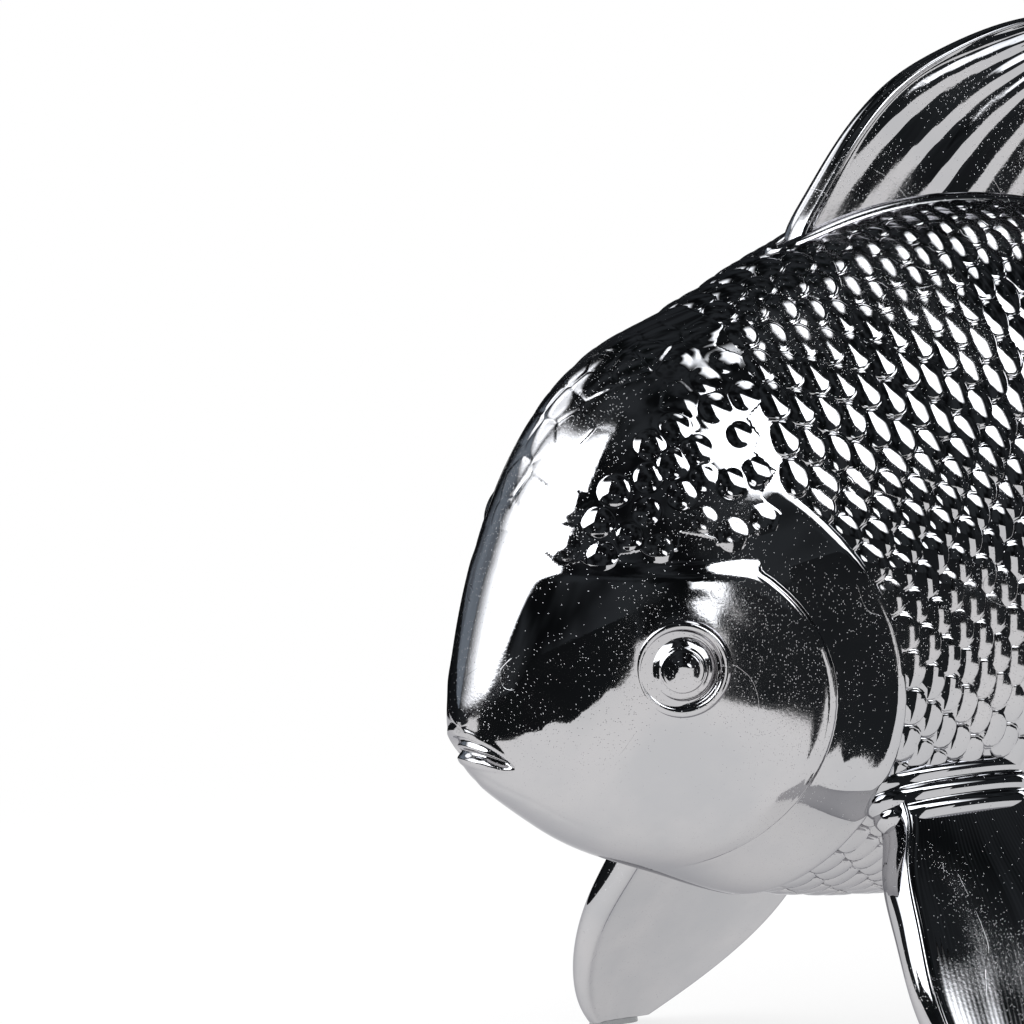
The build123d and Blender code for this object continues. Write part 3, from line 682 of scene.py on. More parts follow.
# %% [markdown]
# ## Dorsal fin
# It stands on the middle of the back. Its rays sweep back at about 40 degrees, and its leading edge
# is the thick spine that catches the light.

# %% Dorsal fin
def seat(front_share, rear_share, turn):
    """Where a fin sits on the middle plane: its middle, chord and direction along the skin."""
    front, rear = skin(front_share, turn), skin(rear_share, turn)
    chord = np.linalg.norm(rear - front)
    return (front + rear) / 2, chord, (rear - front) / chord


dorsal_middle, dorsal_chord, dorsal_along = seat(0.333, 0.740, pi / 2)
dorsal_out = np.array([-dorsal_along[2], 0, dorsal_along[0]])
dorsal_rise = 48 * mm
dorsal_lead = [
    (-1, -0.10), (-1.0, 0.02), (-0.92, 0.18), (-0.76, 0.42), (-0.51, 0.67), (-0.27, 0.80),
    (0.14, 0.94), (0.60, 0.995),
]
dorsal_trail = [(0.99, -0.10), (1.04, 0.24), (1.16, 0.52), (1.27, 0.80)]
fin_blade(
    "dorsal", dorsal_middle, dorsal_along, dorsal_out,
    fin_edges(dorsal_lead, dorsal_trail, dorsal_chord / 2, dorsal_rise, [(1.0, 0.965)]),
    thick=(5.0 * mm, 2.0 * mm), rays=9, rise=0.17 * mm, roll=1.3 * mm, sweep=0.22,
)

# %% [markdown]
# ## Pectoral fins
# The two front fins reach down and out to the ground: the fish stands on them. Each is a thick
# bowed paddle, with its foot cut level on top of its silicone pad.

# %% Pectoral fins
pectoral_chord, pectoral_spread = 32 * mm, 69 * mm
pectoral_root = skin(0.40, radians(-38))
pectoral_down = np.array([0, -pectoral_spread - pectoral_root[1], -pectoral_root[2]])
pectoral_reach = np.linalg.norm(pectoral_down)
pectoral_down /= pectoral_reach
pectoral_bow = 0.8 * mm
pectoral_lead = [
    (-0.50, -0.03), (-0.50, 0.05), (-0.60, 0.16), (-0.68, 0.34), (-0.73, 0.52), (-0.71, 0.66),
    (-0.62, 0.80), (-0.44, 0.94), (-0.32, 1.0),
]
pectoral_trail = [
    (0.48, -0.03), (0.62, 0.16), (0.79, 0.32), (0.80, 0.56), (0.54, 0.78), (0.26, 0.91),
    (0.02, 1.0),
]
fin_pair(
    "pectoral", pectoral_root, forward, pectoral_down,
    fin_edges(pectoral_lead, pectoral_trail, pectoral_chord, pectoral_reach),
    thick=(8.0 * mm, 3.6 * mm), rays=6, rise=0.03 * mm, roll=1.6 * mm, bend=pectoral_bow,
    stand=pad_height,
)

# %% [markdown]
# ## Pelvic and anal fins
# Small swept blades: a pair under the belly, and one on the middle plane under the tail's stem.

# %% Pelvic fins and anal fin
pelvic_chord, pelvic_reach, anal_reach = 17 * mm, 36 * mm, 32 * mm
pelvic_root = skin(0.56, radians(-66))
pelvic_lean = radians(28)
pelvic_down = np.array([0, -sin(pelvic_lean), -cos(pelvic_lean)])
small_lead = [(-0.50, -0.08), (-0.50, 0.08), (-0.34, 0.38), (0.06, 0.72), (0.62, 0.97)]
small_trail = [(0.50, -0.08), (0.66, 0.36), (1.04, 0.66), (1.08, 0.97)]
small_blade = {"rays": 7, "rise": 0.12 * mm, "roll": 1.1 * mm}
fin_pair(
    "pelvic", pelvic_root, forward, pelvic_down,
    fin_edges(small_lead, small_trail, pelvic_chord, pelvic_reach),
    thick=(4.5 * mm, 1.8 * mm), **small_blade,
)
anal_middle, anal_chord, anal_along = seat(0.740, 0.860, -pi / 2)
fin_blade(
    "anal", anal_middle, anal_along, (anal_along[2], 0, -anal_along[0]),
    fin_edges(small_lead, small_trail, anal_chord, anal_reach),
    thick=(4.4 * mm, 1.8 * mm), **small_blade,
)

# %% [markdown]
# ## Tail
# A goldfish has a double tail. Each half fans out from its own slot in the stem: an upper lobe, a
# notch, and a longer lower lobe that reaches the ground and stands on its pad.

# %% The two halves of the tail
tail_chord, tail_gap, tail_thick = 22 * mm, 9 * mm, (4.0 * mm, 2.0 * mm)
tail_rise = 60 * mm
tail_splay, tail_roll = radians(14), radians(8)
tail_root = np.array([body_high.x, -(tail_gap + tail_thick[0]) / 2, snout_height + widest_rise])
tail_back = np.array([cos(tail_splay), -sin(tail_splay), 0])
tail_side = np.array([sin(tail_splay), cos(tail_splay), 0])
tail_up = np.array([0, 0, cos(tail_roll)]) + tail_side * sin(tail_roll)
tail_drop = tail_root[2] / cos(tail_roll)
tail_reach = (cad_high.x - body_high.x) / cos(tail_splay)


def tail_curve(upper=(), lower=()):
    """Curve through points of the upper lobe and then of the lower lobe."""
    points = [(tail_rise * up, tail_reach * back) for up, back in upper]
    return curve_through(points + [(-tail_drop * down, tail_reach * back) for down, back in lower])


half_root, half_under = tail_chord / 2 / tail_rise, tail_chord / 2 / tail_drop
tail_edges = (
    tail_curve([(half_root, -0.06), (half_root, 0.03), (0.36, 0.22), (0.62, 0.50), (0.88, 0.80),
                (0.99, 0.95)]),
    tail_curve([], [(half_under, -0.06), (half_under, 0.03), (0.24, 0.12), (0.50, 0.28),
                    (0.82, 0.50), (1.0, 0.64)]),
    tail_curve([(half_root, -0.06)], [(half_under, -0.06)]),
    tail_curve([(0.99, 0.95), (0.82, 0.97), (0.46, 0.80), (0.10, 0.62)],
               [(0.16, 0.60), (0.46, 0.72), (0.78, 0.80), (1.0, 0.77), (1.0, 0.64)]),
)
fin_pair(
    "tail", tail_root, tail_up, tail_back, tail_edges,
    thick=tail_thick, rays=16, rise=0.22 * mm, roll=1.3 * mm, stand=pad_height,
)

# %% [markdown]
# ## Collars and beads
# The pectoral fins grow out of the body through a collar of soft folds, and a raised bead runs
# around the foot of the dorsal fin. A collar is a stack of rings round the fin's root. A bead
# follows a path, so a small Geometry Nodes tree sweeps a round profile along it.

# %% Folded collars
collar_grow, collar_rise, collar_sink = 3.4 * mm, 4.4 * mm, 7 * mm
fold_count, fold_rise = 3, 0.9 * mm
collar_half = 4 * mm
collar_turn = np.arange(96) / 96 * 2 * pi


def squarish(value):
    """Sine or cosine of an oval that is slightly square."""
    return np.sign(value) * np.abs(value) ** 0.8


for word, flip in sides:
    outward = pectoral_down * flip
    thickness_way = np.cross(forward, outward)
    rings = []
    for share in np.linspace(0, 1, 40):
        fold = abs(sin(pi * (share * (fold_count + 0.5) - 0.5)))
        grow = collar_grow * (1 - 0.8 * share**1.5) + fold_rise * fold * (1 - share * 0.5)
        ring_x = (pectoral_chord / 2 + grow) * squarish(np.cos(collar_turn))
        ring_t = (collar_half + grow) * squarish(np.sin(collar_turn))
        ring = pectoral_root * flip + outward * ((collar_rise + collar_sink) * share - collar_sink)
        rings.append(ring + ring_x[:, None] * forward + ring_t[:, None] * thickness_way)
    settle(ring_stack(word + "_pectoral_collar", rings), chrome)

# %% Sweep a bead along a path with Geometry Nodes
def new_tree(name, inputs):
    """Geometry Nodes group with named inputs; returns its bench and the values of its inputs."""
    tree = bpy.data.node_groups.new(name, "GeometryNodeTree")
    for label, kind in {"Geometry": "Geometry", **inputs, "Finish": "Material"}.items():
        tree.interface.new_socket(label, in_out="INPUT", socket_type="NodeSocket" + kind)
    tree.interface.new_socket("Geometry", in_out="OUTPUT", socket_type="NodeSocketGeometry")
    bench = Bench(tree, "NodeGroupOutput")
    start = tree.nodes.new("NodeGroupInput")
    return bench, {socket.name: Value(bench, socket) for socket in start.outputs if socket.name}


def close_tree(bench, given, geometry):
    """Makes copies real, shades them smooth and paints them, which ends the tree."""
    painted = {"Material": given["Finish"]}
    steps = {"RealizeInstances": {}, "SetShadeSmooth": {}, "SetMaterial": painted}
    for kind, sockets in steps.items():
        geometry = bench.add("GeometryNode" + kind, {"Geometry": geometry, **sockets})
    bench.finish(geometry)


def grow_piece(name, mesh, tree, values):
    """Runs a tree on a mesh, and keeps the result as a plain piece of chrome."""
    carrier = new_object(name, mesh)
    modifier = carrier.modifiers.new("build", "NODES")
    modifier.node_group = tree
    values = {**values, "Finish": chrome}
    for socket in tree.interface.items_tree:
        if socket.in_out == "INPUT" and socket.name in values:
            modifier[socket.identifier] = values[socket.name]
    bpy.context.view_layer.update()
    graph = bpy.context.evaluated_depsgraph_get()
    grown = bpy.data.meshes.new_from_object(carrier.evaluated_get(graph))
    carrier.modifiers.remove(modifier)
    carrier.data = grown
    settle(carrier, chrome)


bead_bench, given = new_tree("bead_along_a_path", {"Radius": "Float", "Sides": "Int"})
path = bead_bench.add("GeometryNodeMeshToCurve", {"Mesh": given["Geometry"]})
sockets = {"Resolution": given["Sides"], "Radius": given["Radius"]}
profile = bead_bench.add("GeometryNodeCurvePrimitiveCircle", sockets)
sockets = {"Curve": path, "Profile Curve": profile}
close_tree(bead_bench, given, bead_bench.add("GeometryNodeCurveToMesh", sockets))


def bead(name, points, radius):
    """Round bead along a closed path of points."""
    mesh = bpy.data.meshes.new(name + "_path")
    edges = [(i, (i + 1) % len(points)) for i in range(len(points))]
    mesh.from_pydata(points.tolist(), edges, [])
    grow_piece(name, mesh, bead_bench.tree, {"Radius": radius, "Sides": 16})


bead_side, bead_steps = 2.9 * mm, 140
back = skin(np.linspace(0.318, 0.752, bead_steps), pi / 2)
narrow = np.sqrt(np.clip(1 - np.abs(np.linspace(-1, 1, bead_steps)) ** 12, 0, 1))
left_line = back + np.stack([0 * narrow, -bead_side * narrow, 0 * narrow], axis=-1)
right_line = (left_line * mirrored)[::-1][1:-1]
bead("dorsal_base_bead", np.concatenate([left_line, right_line]), 1.5 * mm)

plug_low, plug_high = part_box("vent_plug")
plug_centre = (plug_low + plug_high) / 2
plug_radius = (plug_high.x - plug_low.x) / 2
vent_bead = 0.9 * mm
ring_turn = np.arange(64) / 64 * 2 * pi
ring_x = plug_centre.x + (plug_radius + vent_bead) * np.cos(ring_turn)
ring_y = (plug_radius + vent_bead) * np.sin(ring_turn)
ring_z = skin((ring_x - snout_x) / body_length, -pi / 2)[:, 2]
bead("vent_ring", np.stack([ring_x, ring_y, ring_z], axis=-1), vent_bead)

# %% [markdown]
# ## Scales on a skin, with Geometry Nodes
# A carp's flank carries more than a thousand scales in staggered rows. Modelling them one by one
# would be hopeless, and a bump texture would lose the outline and the real overlaps. So one low
# shield is instanced on points of the skin. Each point carries the skin's normal, the rearward
# direction and its own size. The tree turns each copy to the skin, lifts its rear edge, varies it a
# little with a fixed seed, and makes it real.

# %% The tree that lays scales on a skin
bench, given = new_tree("scales_on_a_skin", {
    "Shape": "Object", "Tilt": "Float", "Tilt variation": "Float", "Size variation": "Float",
    "Seed": "Int",
})


def point_value(name):
    """A vector stored on each point."""
    kind = "GeometryNodeInputNamedAttribute"
    return bench.add(kind, {"Name": name}, "Attribute", data_type="FLOAT_VECTOR")


def random_value(spread, shift):
    """A random number between -spread and spread for each point."""
    sockets = {"Min": 0 - spread, "Max": spread, "Seed": given["Seed"] + shift}
    return bench.add("FunctionNodeRandomValue", sockets, "Value", data_type="FLOAT")


ways = {"Primary Axis": point_value("skin_normal"), "Secondary Axis": point_value("rearward")}
turned = bench.add("FunctionNodeAxesToRotation", ways, primary_axis="Z", secondary_axis="X")
lift = 0 - given["Tilt"] + random_value(given["Tilt variation"], 1)
sideways = random_value(given["Tilt variation"], 2)
for axis, angle in (((0, 1, 0), lift), ((1, 0, 0), sideways)):
    own_turn = bench.add("FunctionNodeAxisAngleToRotation", {"Axis": axis, "Angle": angle})
    sockets = {"Rotation": turned, "Rotate By": own_turn}
    turned = bench.add("FunctionNodeRotateRotation", sockets, rotation_space="LOCAL")
sockets = {0: point_value("size"), "Scale": random_value(given["Size variation"], 3) + 1.0}
grown = bench.add("ShaderNodeVectorMath", sockets, "Vector", operation="SCALE")
sockets = {"Object": given["Shape"], "As Instance": True}
shape = bench.add("GeometryNodeObjectInfo", sockets, "Geometry", transform_space="ORIGINAL")
sockets = {"Points": given["Geometry"], "Instance": shape, "Rotation": turned, "Scale": grown}
close_tree(bench, given, bench.add("GeometryNodeInstanceOnPoints", sockets))
scale_tree = bench.tree


def lay_scales(name, points, normals, rearwards, sizes, seed):
    """Shields on points of the skin, as one plain mesh."""
    mesh = bpy.data.meshes.new(name + "_points")
    mesh.from_pydata(points.tolist(), [], [])
    for label, values in (("skin_normal", normals), ("rearward", rearwards), ("size", sizes)):
        attribute = mesh.attributes.new(label, "FLOAT_VECTOR", "POINT")
        attribute.data.foreach_set("vector", values.ravel())
    values = {"Shape": shield, "Tilt": 0.10, "Tilt variation": 0.05, "Size variation": 0.04}
    grow_piece(name, mesh, scale_tree, {**values, "Seed": seed})
    print(len(points), "copies of", shield.name)


# %% The shield that is repeated
shield_spokes, shield_packing, shield_barrel = 16, 0.25, 0.45
shield_rings = [
    (0.30, 0), (0.55, 0), (0.75, 0), (0.86, 0.0), (0.905, -0.14), (0.985, 0.03), (1.0, -1.2),
]
angle = np.arange(shield_spokes) / shield_spokes * 2 * pi
angle = angle - shield_packing * np.sin(angle)
x, y = np.cos(angle), np.sin(angle)
stack = [[[0, 0, 1]]]
for share, extra in shield_rings:
    height = 1 - share**2 * (1 - shield_barrel * y**2) + extra
    stack.append(np.stack([x * share, y * share, height], axis=-1))
faces = [[0, 1 + j, 1 + (j + 1) % shield_spokes] for j in range(shield_spokes)]
ring_faces = grid_faces(len(shield_rings), shield_spokes, wrap=True)
faces += [[1 + corner for corner in face] for face in ring_faces]
first_of_rim = 1 + (len(shield_rings) - 1) * shield_spokes
faces.append([first_of_rim + j for j in reversed(range(shield_spokes))])
shield = bare_object("shield_shape", np.concatenate(stack), faces)
shield.hide_render = shield.hide_viewport = True
print("The shield has", len(faces), "faces")

# %% [markdown]
# ## Where the flank's scales go
# Columns of scales follow the gill cover's edge at the front and straighten towards the tail. In
# each column, scales are counted down from the middle of the back at an even pitch, and every other
# column is shifted by half a pitch. The pitch shrinks towards the tail, so rows stay rows, and end
# at the belly as they do on a real fish.

# %% Points for the flank's scales
column_pitch, row_pitch = 4.5 * mm, 8.0 * mm
column_lean = 1.2
look = 1e-3
collar_share, plug_margin = 0.28, 2 * mm
dorsal_front, dorsal_rear, dorsal_side = 0.33, 0.74, 1.5 * mm
scale_length, scale_height, scale_sink = 3.9 * mm, 1.05 * mm, 0.30 * mm
arc_turns = np.linspace(pi / 2, -pi / 2, 400)
arc_front = crossing(arc_turns, gill_centre, gill_radius, gill_crown)
column_count = int((1 - arc_front.min()) * body_length / column_pitch)


def blocked(point):
    """True where a fin, a collar or the plug sits on the skin instead of a scale."""
    upper = point[2] > snout_height
    in_collar = np.linalg.norm((point - pectoral_root)[[0, 2]]) < collar_share * pectoral_chord
    from_plug = np.hypot(point[0] - plug_centre.x, point[1])
    in_plug = from_plug < plug_radius + plug_margin and point[2] < snout_height
    under_dorsal = dorsal_front < (point[0] - snout_x) / body_length < dorsal_rear
    return in_collar or in_plug or (upper and under_dorsal and abs(point[1]) < dorsal_side)


spots = []
for column in range(column_count):
    part = (column + 0.30) / column_count
    line_shares = arc_front + (tail_round - arc_front) * part
    line = skin(line_shares, arc_turns)
    steps = np.linalg.norm(np.diff(line, axis=0), axis=1)
    length = np.concatenate([[0], np.cumsum(steps)])
    pitch = row_pitch * (0.93 + 0.09 * sin(pi * part) - 0.28 * part**2)
    places = np.arange(0.5 * (column % 2), length[-1] / pitch - 0.2) * pitch
    for place in places:
        turn = np.interp(place, length, arc_turns)
        share = np.interp(place, length, line_shares)
        above, below = ([np.interp(place + step, length, way) for way in line.T]
                        for step in (-look, look))
        if not blocked(skin(share, turn)):
            spots.append((share, turn, pitch, place < 0.1 * pitch, *np.subtract(below, above)))

spot_share, spot_turn, spot_pitch, on_middle = np.array(spots).T[:4]
points, normals, rearwards = skin_frame(spot_share, spot_turn)
across = np.cross(np.array(spots)[:, 4:], normals)
across /= np.maximum(np.linalg.norm(across, axis=-1, keepdims=True), 1e-9)
across *= np.sign(np.sum(across * rearwards, axis=-1, keepdims=True))
rearwards = rearwards + column_lean * across
rearwards /= np.linalg.norm(rearwards, axis=-1, keepdims=True)
points = points - normals * scale_sink
sizes = np.stack([
    scale_length * (0.75 + 0.25 * spot_pitch / row_pitch), spot_pitch * 0.55,
    scale_height * spot_pitch / row_pitch,
], axis=-1)
lay_scales("left_flank_scales", points, normals, rearwards, sizes, seed=4)
pairs = on_middle < 0.5
ways = [(rows * mirrored)[pairs] for rows in (points, normals, rearwards)]
lay_scales("right_flank_scales", *ways, sizes[pairs], seed=9)
bpy.data.objects.remove(shield)

# %% [markdown]
# ## The crown
# The crown is paved with bony plates that meet in grooves: thin and flat on the forehead, and round
# like cobbles towards the lower edge, where the last row overhangs the cheek. Such a paving is a
# Voronoi pattern. Its seeds come from picking, again and again, the point of the crown that is
# farthest from all the seeds so far: it gives an even but irregular paving with no random numbers.

# %% Seeds of the crown's plates
plate_spacing = 5.3 * mm
crown_edge = [
    (0, 31), (4, 30.5), (6, 27), (10.8, 25.6), (18.5, 26.5), (27.7, 28.5), (42, 30), (52, 32.5),
    (62, 38),
]


def over_edge(points):
    """Height over the crown's lower edge, which is higher on the middle of the forehead."""
    along, side = points[..., 0] - snout_x, np.abs(points[..., 1])
    edge = np.array(crown_edge) * mm
    middle = ease(side, 9 * mm, 2 * mm) * ease(along, 16 * mm, 4 * mm) * 3 * mm
    return points[..., 2] - snout_height - (np.interp(along, edge[:, 0], edge[:, 1]) + middle)


try_shares, try_turns = np.linspace(0.012, 0.33, 240), np.linspace(0.02, pi - 0.02, 480)
try_share, try_turn = (grid.ravel() for grid in np.meshgrid(try_shares, try_turns, indexing="ij"))
tried = skin(try_share, try_turn)
near = over_edge(tried) > -7 * mm
tried, try_share, try_turn = tried[near], try_share[near], try_turn[near]
nearest = np.linalg.norm(tried - tried[0], axis=1)
chosen = [0]
while nearest.max() > plate_spacing:
    pick = int(np.argmax(nearest))
    chosen.append(pick)
    nearest = np.minimum(nearest, np.linalg.norm(tried - tried[pick], axis=1))
seeds, seed_turn = tried[chosen], try_turn[chosen]
print(len(seeds), "seeds")

# %% [markdown]
# Each seed decides what stands on it: a plate, a round cobble, or something between. The forehead
# is almost bare, cobbles pave the sides and the lowest rows, and each one varies a little.

# %% What stands on each seed
seed_over = over_edge(seeds)
seed_middle = np.degrees(np.abs(seed_turn - pi / 2))
seed_along = seeds[:, 0] - snout_x
in_crown = seed_over > 1.6 * mm
in_crown &= try_share[chosen] < np.interp(seed_turn, turns, gill_share) - 0.004
behind_brow = ease(seed_along, 34 * mm, 44 * mm)
bare = ease(seed_middle, 14, 20) * (1 - ease(seed_middle, 34, 40))
bare = bare * ease(seed_along, 6 * mm, 10 * mm) * (1 - ease(seed_along, 34 * mm, 40 * mm))
at_nape = ease(seed_along, 52 * mm, 60 * mm) * (1 - ease(seed_middle, 44, 54))
cobble = ease(seed_middle, 34, 42) * (1 - at_nape)
cobble = np.maximum(cobble, 0.5 * behind_brow * ease(seed_middle, 12, 20))
lowest = (1 - ease(seed_over, 2.0 * mm, 5.5 * mm)) * ease(seed_middle, 18, 28)
bubble = np.maximum(cobble, lowest)
jitter = np.sin(37.0 * np.arange(len(seeds)))
plate_rise = 0.28 * mm * (1 - 0.9 * bare) * (1 + 0.2 * jitter) * (1 - 0.6 * behind_brow)
bubble_rise = (0.68 + 0.12 * jitter) * mm
bubble_radius = plate_spacing * (0.61 + 0.04 * jitter)
print(int(in_crown.sum()), "of the seeds are in the crown")

# %% [markdown]
# The plates' skin is one fine grid over both sides of the crown. Each point knows its own seed and
# the next nearest one, so it knows how far the groove between them is. Outside the crown the sheet
# dives under the body's skin, and a fan of faces inside the body closes it.

# %% Build the crown's sheet
lowest_turn, sheet_rows, sheet_columns = 0.08, 230, 400
groove_width, floor_height, dive = 0.9 * mm, 0.10 * mm, 0.15 * mm
sheet_turn = np.linspace(pi - lowest_turn, lowest_turn, sheet_columns)
share = np.linspace(0.13, 0.56, sheet_rows)[:, None] ** 2 + 0 * sheet_turn
place, normal, _ = skin_frame(share, sheet_turn)
over = over_edge(place)
height = np.zeros(share.shape)
at = np.arange(sheet_columns)
for row in range(sheet_rows):
    apart = np.linalg.norm(place[row][:, None] - seeds, axis=-1)
    first = np.argmin(apart, axis=1)
    own = apart[at, first]
    apart[at, first] = 1.0
    second = np.argmin(apart, axis=1)
    between = np.linalg.norm(seeds[first] - seeds[second], axis=-1)
    groove = (apart[at, second] ** 2 - own**2) / (2 * between)
    rounded = 1 - (1 - np.clip(groove / groove_width, 0, 1)) ** 2
    core = 1 - (own / (0.9 * plate_spacing)) ** 2
    plate = floor_height + plate_rise[first] * (0.35 * rounded + 0.65 * core)
    plate = plate - (plate + 0.3 * mm) * (1 - ease(over[row], 0.2 * mm, 10 * mm))
    dome = np.clip(1 - (own / bubble_radius[first]) ** 2, 0, 1) ** 0.75
    floor = floor_height - 0.8 * mm * (1 - ease(over[row], 0.2 * mm, 1.6 * mm))
    cobbles = np.maximum(floor, bubble_rise[first] * dome - dive)
    paved = plate + (cobbles - plate) * bubble[first]
    sunk = -dive - 0.5 * mm * ease(groove, 0, groove_width)
    height[row] = np.where(in_crown[first], paved, sunk)
to_cheek = (np.interp(sheet_turn, turns, cheek_share) - share) * body_length
to_gill = (np.interp(sheet_turn, turns, gill_share) - share) * body_length
cover = cover_height(to_cheek, to_gill, place[..., 2] - snout_height)
height += np.where((to_cheek < 0) & (to_gill > 0), cover, 0)
points = (place + normal * height[..., None]).reshape(-1, 3)
index = np.arange(len(points)).reshape(sheet_rows, sheet_columns)
border = [*index[0], *index[1:, -1], *index[-1, -2::-1], *index[-2:0:-1, 0]]
hub = points[border].mean(axis=0) * np.array([1, 0.6, 1]) - np.array([0, 0, 14 * mm])
faces = grid_faces(sheet_rows, sheet_columns)
faces += [[after, here, len(points)] for here, after in zip(border, border[1:] + border[:1])]
settle(bare_object("crown", np.concatenate([points, [hub]]), faces), chrome)

# %% [markdown]
# ## Rubber parts
# The plug in the belly is black rubber and the four pads under the fins are grey silicone. The CAD
# nodes have the right shape, so they stay, and only get their finishes.

# %% Rubber and silicone
moulded_scale, moulded_height, stain_scale = 1800.0, 0.00004, 220.0


def rubber_finish(name, light, dark, roughness):
    """Soft matt finish with a fine moulded grain and small changes of colour."""
    material, bench, place = new_finish(name)
    grain = bench.noise(place, moulded_scale, 3.0)
    cloud = bench.noise(place, stain_scale, 2.0)
    sockets = {
        "Base Color": bench.blend(cloud, dark, light),
        "Roughness": bench.step(grain, 0.3, 0.7, roughness - 0.08, roughness + 0.08),
        "Normal": bench.bump(grain, moulded_height, 0.6),
    }
    bench.finish(bench.add("ShaderNodeBsdfPrincipled", sockets))
    return material


black, black_shade = (0.030, 0.030, 0.032, 1), (0.016, 0.016, 0.018, 1)
grey, grey_shade = (0.42, 0.43, 0.44, 1), (0.34, 0.35, 0.36, 1)
plug_rubber = rubber_finish("plug_rubber", black, black_shade, 0.62)
foot_silicone = rubber_finish("foot_silicone", grey, grey_shade, 0.45)
rubber_nodes = {"vent_plug": (plug_rubber, "plug_rubber")}
for end in ("front", "rear"):
    for word in ("left", "right"):
        rubber_nodes[end + "_" + word + "_foot_pad"] = (foot_silicone, "foot_silicone")
for node, (finish, slot) in rubber_nodes.items():
    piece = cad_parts[node]
    piece.data.materials.clear()
    piece.data.materials.append(finish)
print("Carried over from the frame:", ", ".join(rubber_nodes))

# %% [markdown]
# ## The studio
# A mirror shows only what is around it, so the studio is modelled: a pale table, dark walls, white
# softboxes on both sides, and black flags that keep the table out of some reflections. Walls,
# softboxes and flags are seen by reflections alone. For the camera, the background is a white
# world.

# %% Softboxes, flags and dark walls
panel_columns, panel_rows = 49, 17
patch_scale = 1.3


def light_material(name, glow, colour, fades, uneven):
    """Surface that glows, and fades out at its edges: the start, the end, the foot and the top."""
    material, bench, place = new_finish(name)
    u = bench.map_u()
    v = bench.other(u, "Y")
    power = bench.step(u, 0.0, fades[0]) * bench.step(1 - u, 0.0, fades[1])
    power = power * bench.step(v, 0.0, fades[2]) * bench.step(1 - v, 0.0, fades[3])
    patches = bench.noise(place, patch_scale, 2.0)
    power = power * bench.step(patches, 0.35, 0.65, 1.0 - uneven, 1.0)
    bench.finish(bench.add("ShaderNodeEmission", {"Color": colour, "Strength": power * glow}))
    return material


def panel(name, light, centre, distance, corners):
    """Curved panel that only mirrors see.

    Corners list (azimuth, lowest, highest) in degrees, as seen from centre. Azimuth 0 is towards
    -Y, and 90 is towards -X, ahead of the fish.
    """
    azimuths, lowest, highest = np.array(corners, float).T
    across = np.linspace(azimuths[0], azimuths[-1], panel_columns)
    low, high = np.interp(across, azimuths, lowest), np.interp(across, azimuths, highest)
    share = np.linspace(0, 1, panel_rows)[:, None]
    around = np.radians(across) + 0 * share
    upward = np.radians(low + (high - low) * share)
    level = np.cos(upward)
    way = np.stack([-np.sin(around) * level, -np.cos(around) * level, np.sin(upward)], axis=-1)
    points = (np.array(centre) + way * distance).reshape(-1, 3)
    map_u = np.linspace(0, 1, panel_columns)
    map_uv = np.stack(np.broadcast_arrays(map_u, share), axis=-1).reshape(-1, 2)
    made = bare_object(name, points, grid_faces(panel_rows, panel_columns), map_uv)
    made.data.materials.append(light)
    made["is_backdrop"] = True
    made.visible_camera = made.visible_diffuse = False
    made.visible_transmission = made.visible_shadow = False


print("Panels fade over their edges and are seen by mirrors only")

# %% [markdown]
# Each light has a strength, a colour, a fade at each of its four edges, and an unevenness. Each
# panel names its light, the point that it is seen from, its distance from there and its corners.

# %% Where the lights stand
whole = (0.0001, 0.0001, 0.0001, 0.0001)
cool, sky, haze_blue = (0.94, 0.97, 1.0, 1), (0.8, 0.9, 1.0, 1), (0.74, 0.86, 1.0, 1)
lights = {
    "dark_wall": (0.042, sky, whole, 0.85),
    "flag_black": (0.026, sky, whole, 0.7),
    "head_softbox": (4.5, cool, (0.02, 0.50, 0.08, 0.28), 0.0),
    "tail_softbox": (4.5, cool, (0.30, 0.05, 0.12, 0.15), 0.0),
    "window": (3.0, cool, (0.2, 0.2, 0.2, 0.2), 0.0),
    "rear_softbox": (4.0, cool, (0.1, 0.1, 0.1, 0.1), 0.0),
    "haze": (0.34, haze_blue, (0.02, 0.3, 0.1, 0.02), 0.5),
    "brow_softbox": (3.2, cool, (0.25, 0.3, 0.25, 0.25), 0.5),
    "top_softbox": (3.0, cool, (0.2, 0.2, 0.2, 0.2), 0.8),
}
room, forehead, flank = (-0.06, 0, 0.1), (-0.14, -0.015, 0.12), (-0.08, -0.035, 0.13)
cheek_top, cheek = (-0.126, -0.028, 0.103), (-0.110, -0.034, 0.085)
snout_side = (-0.148, -0.018, 0.082)
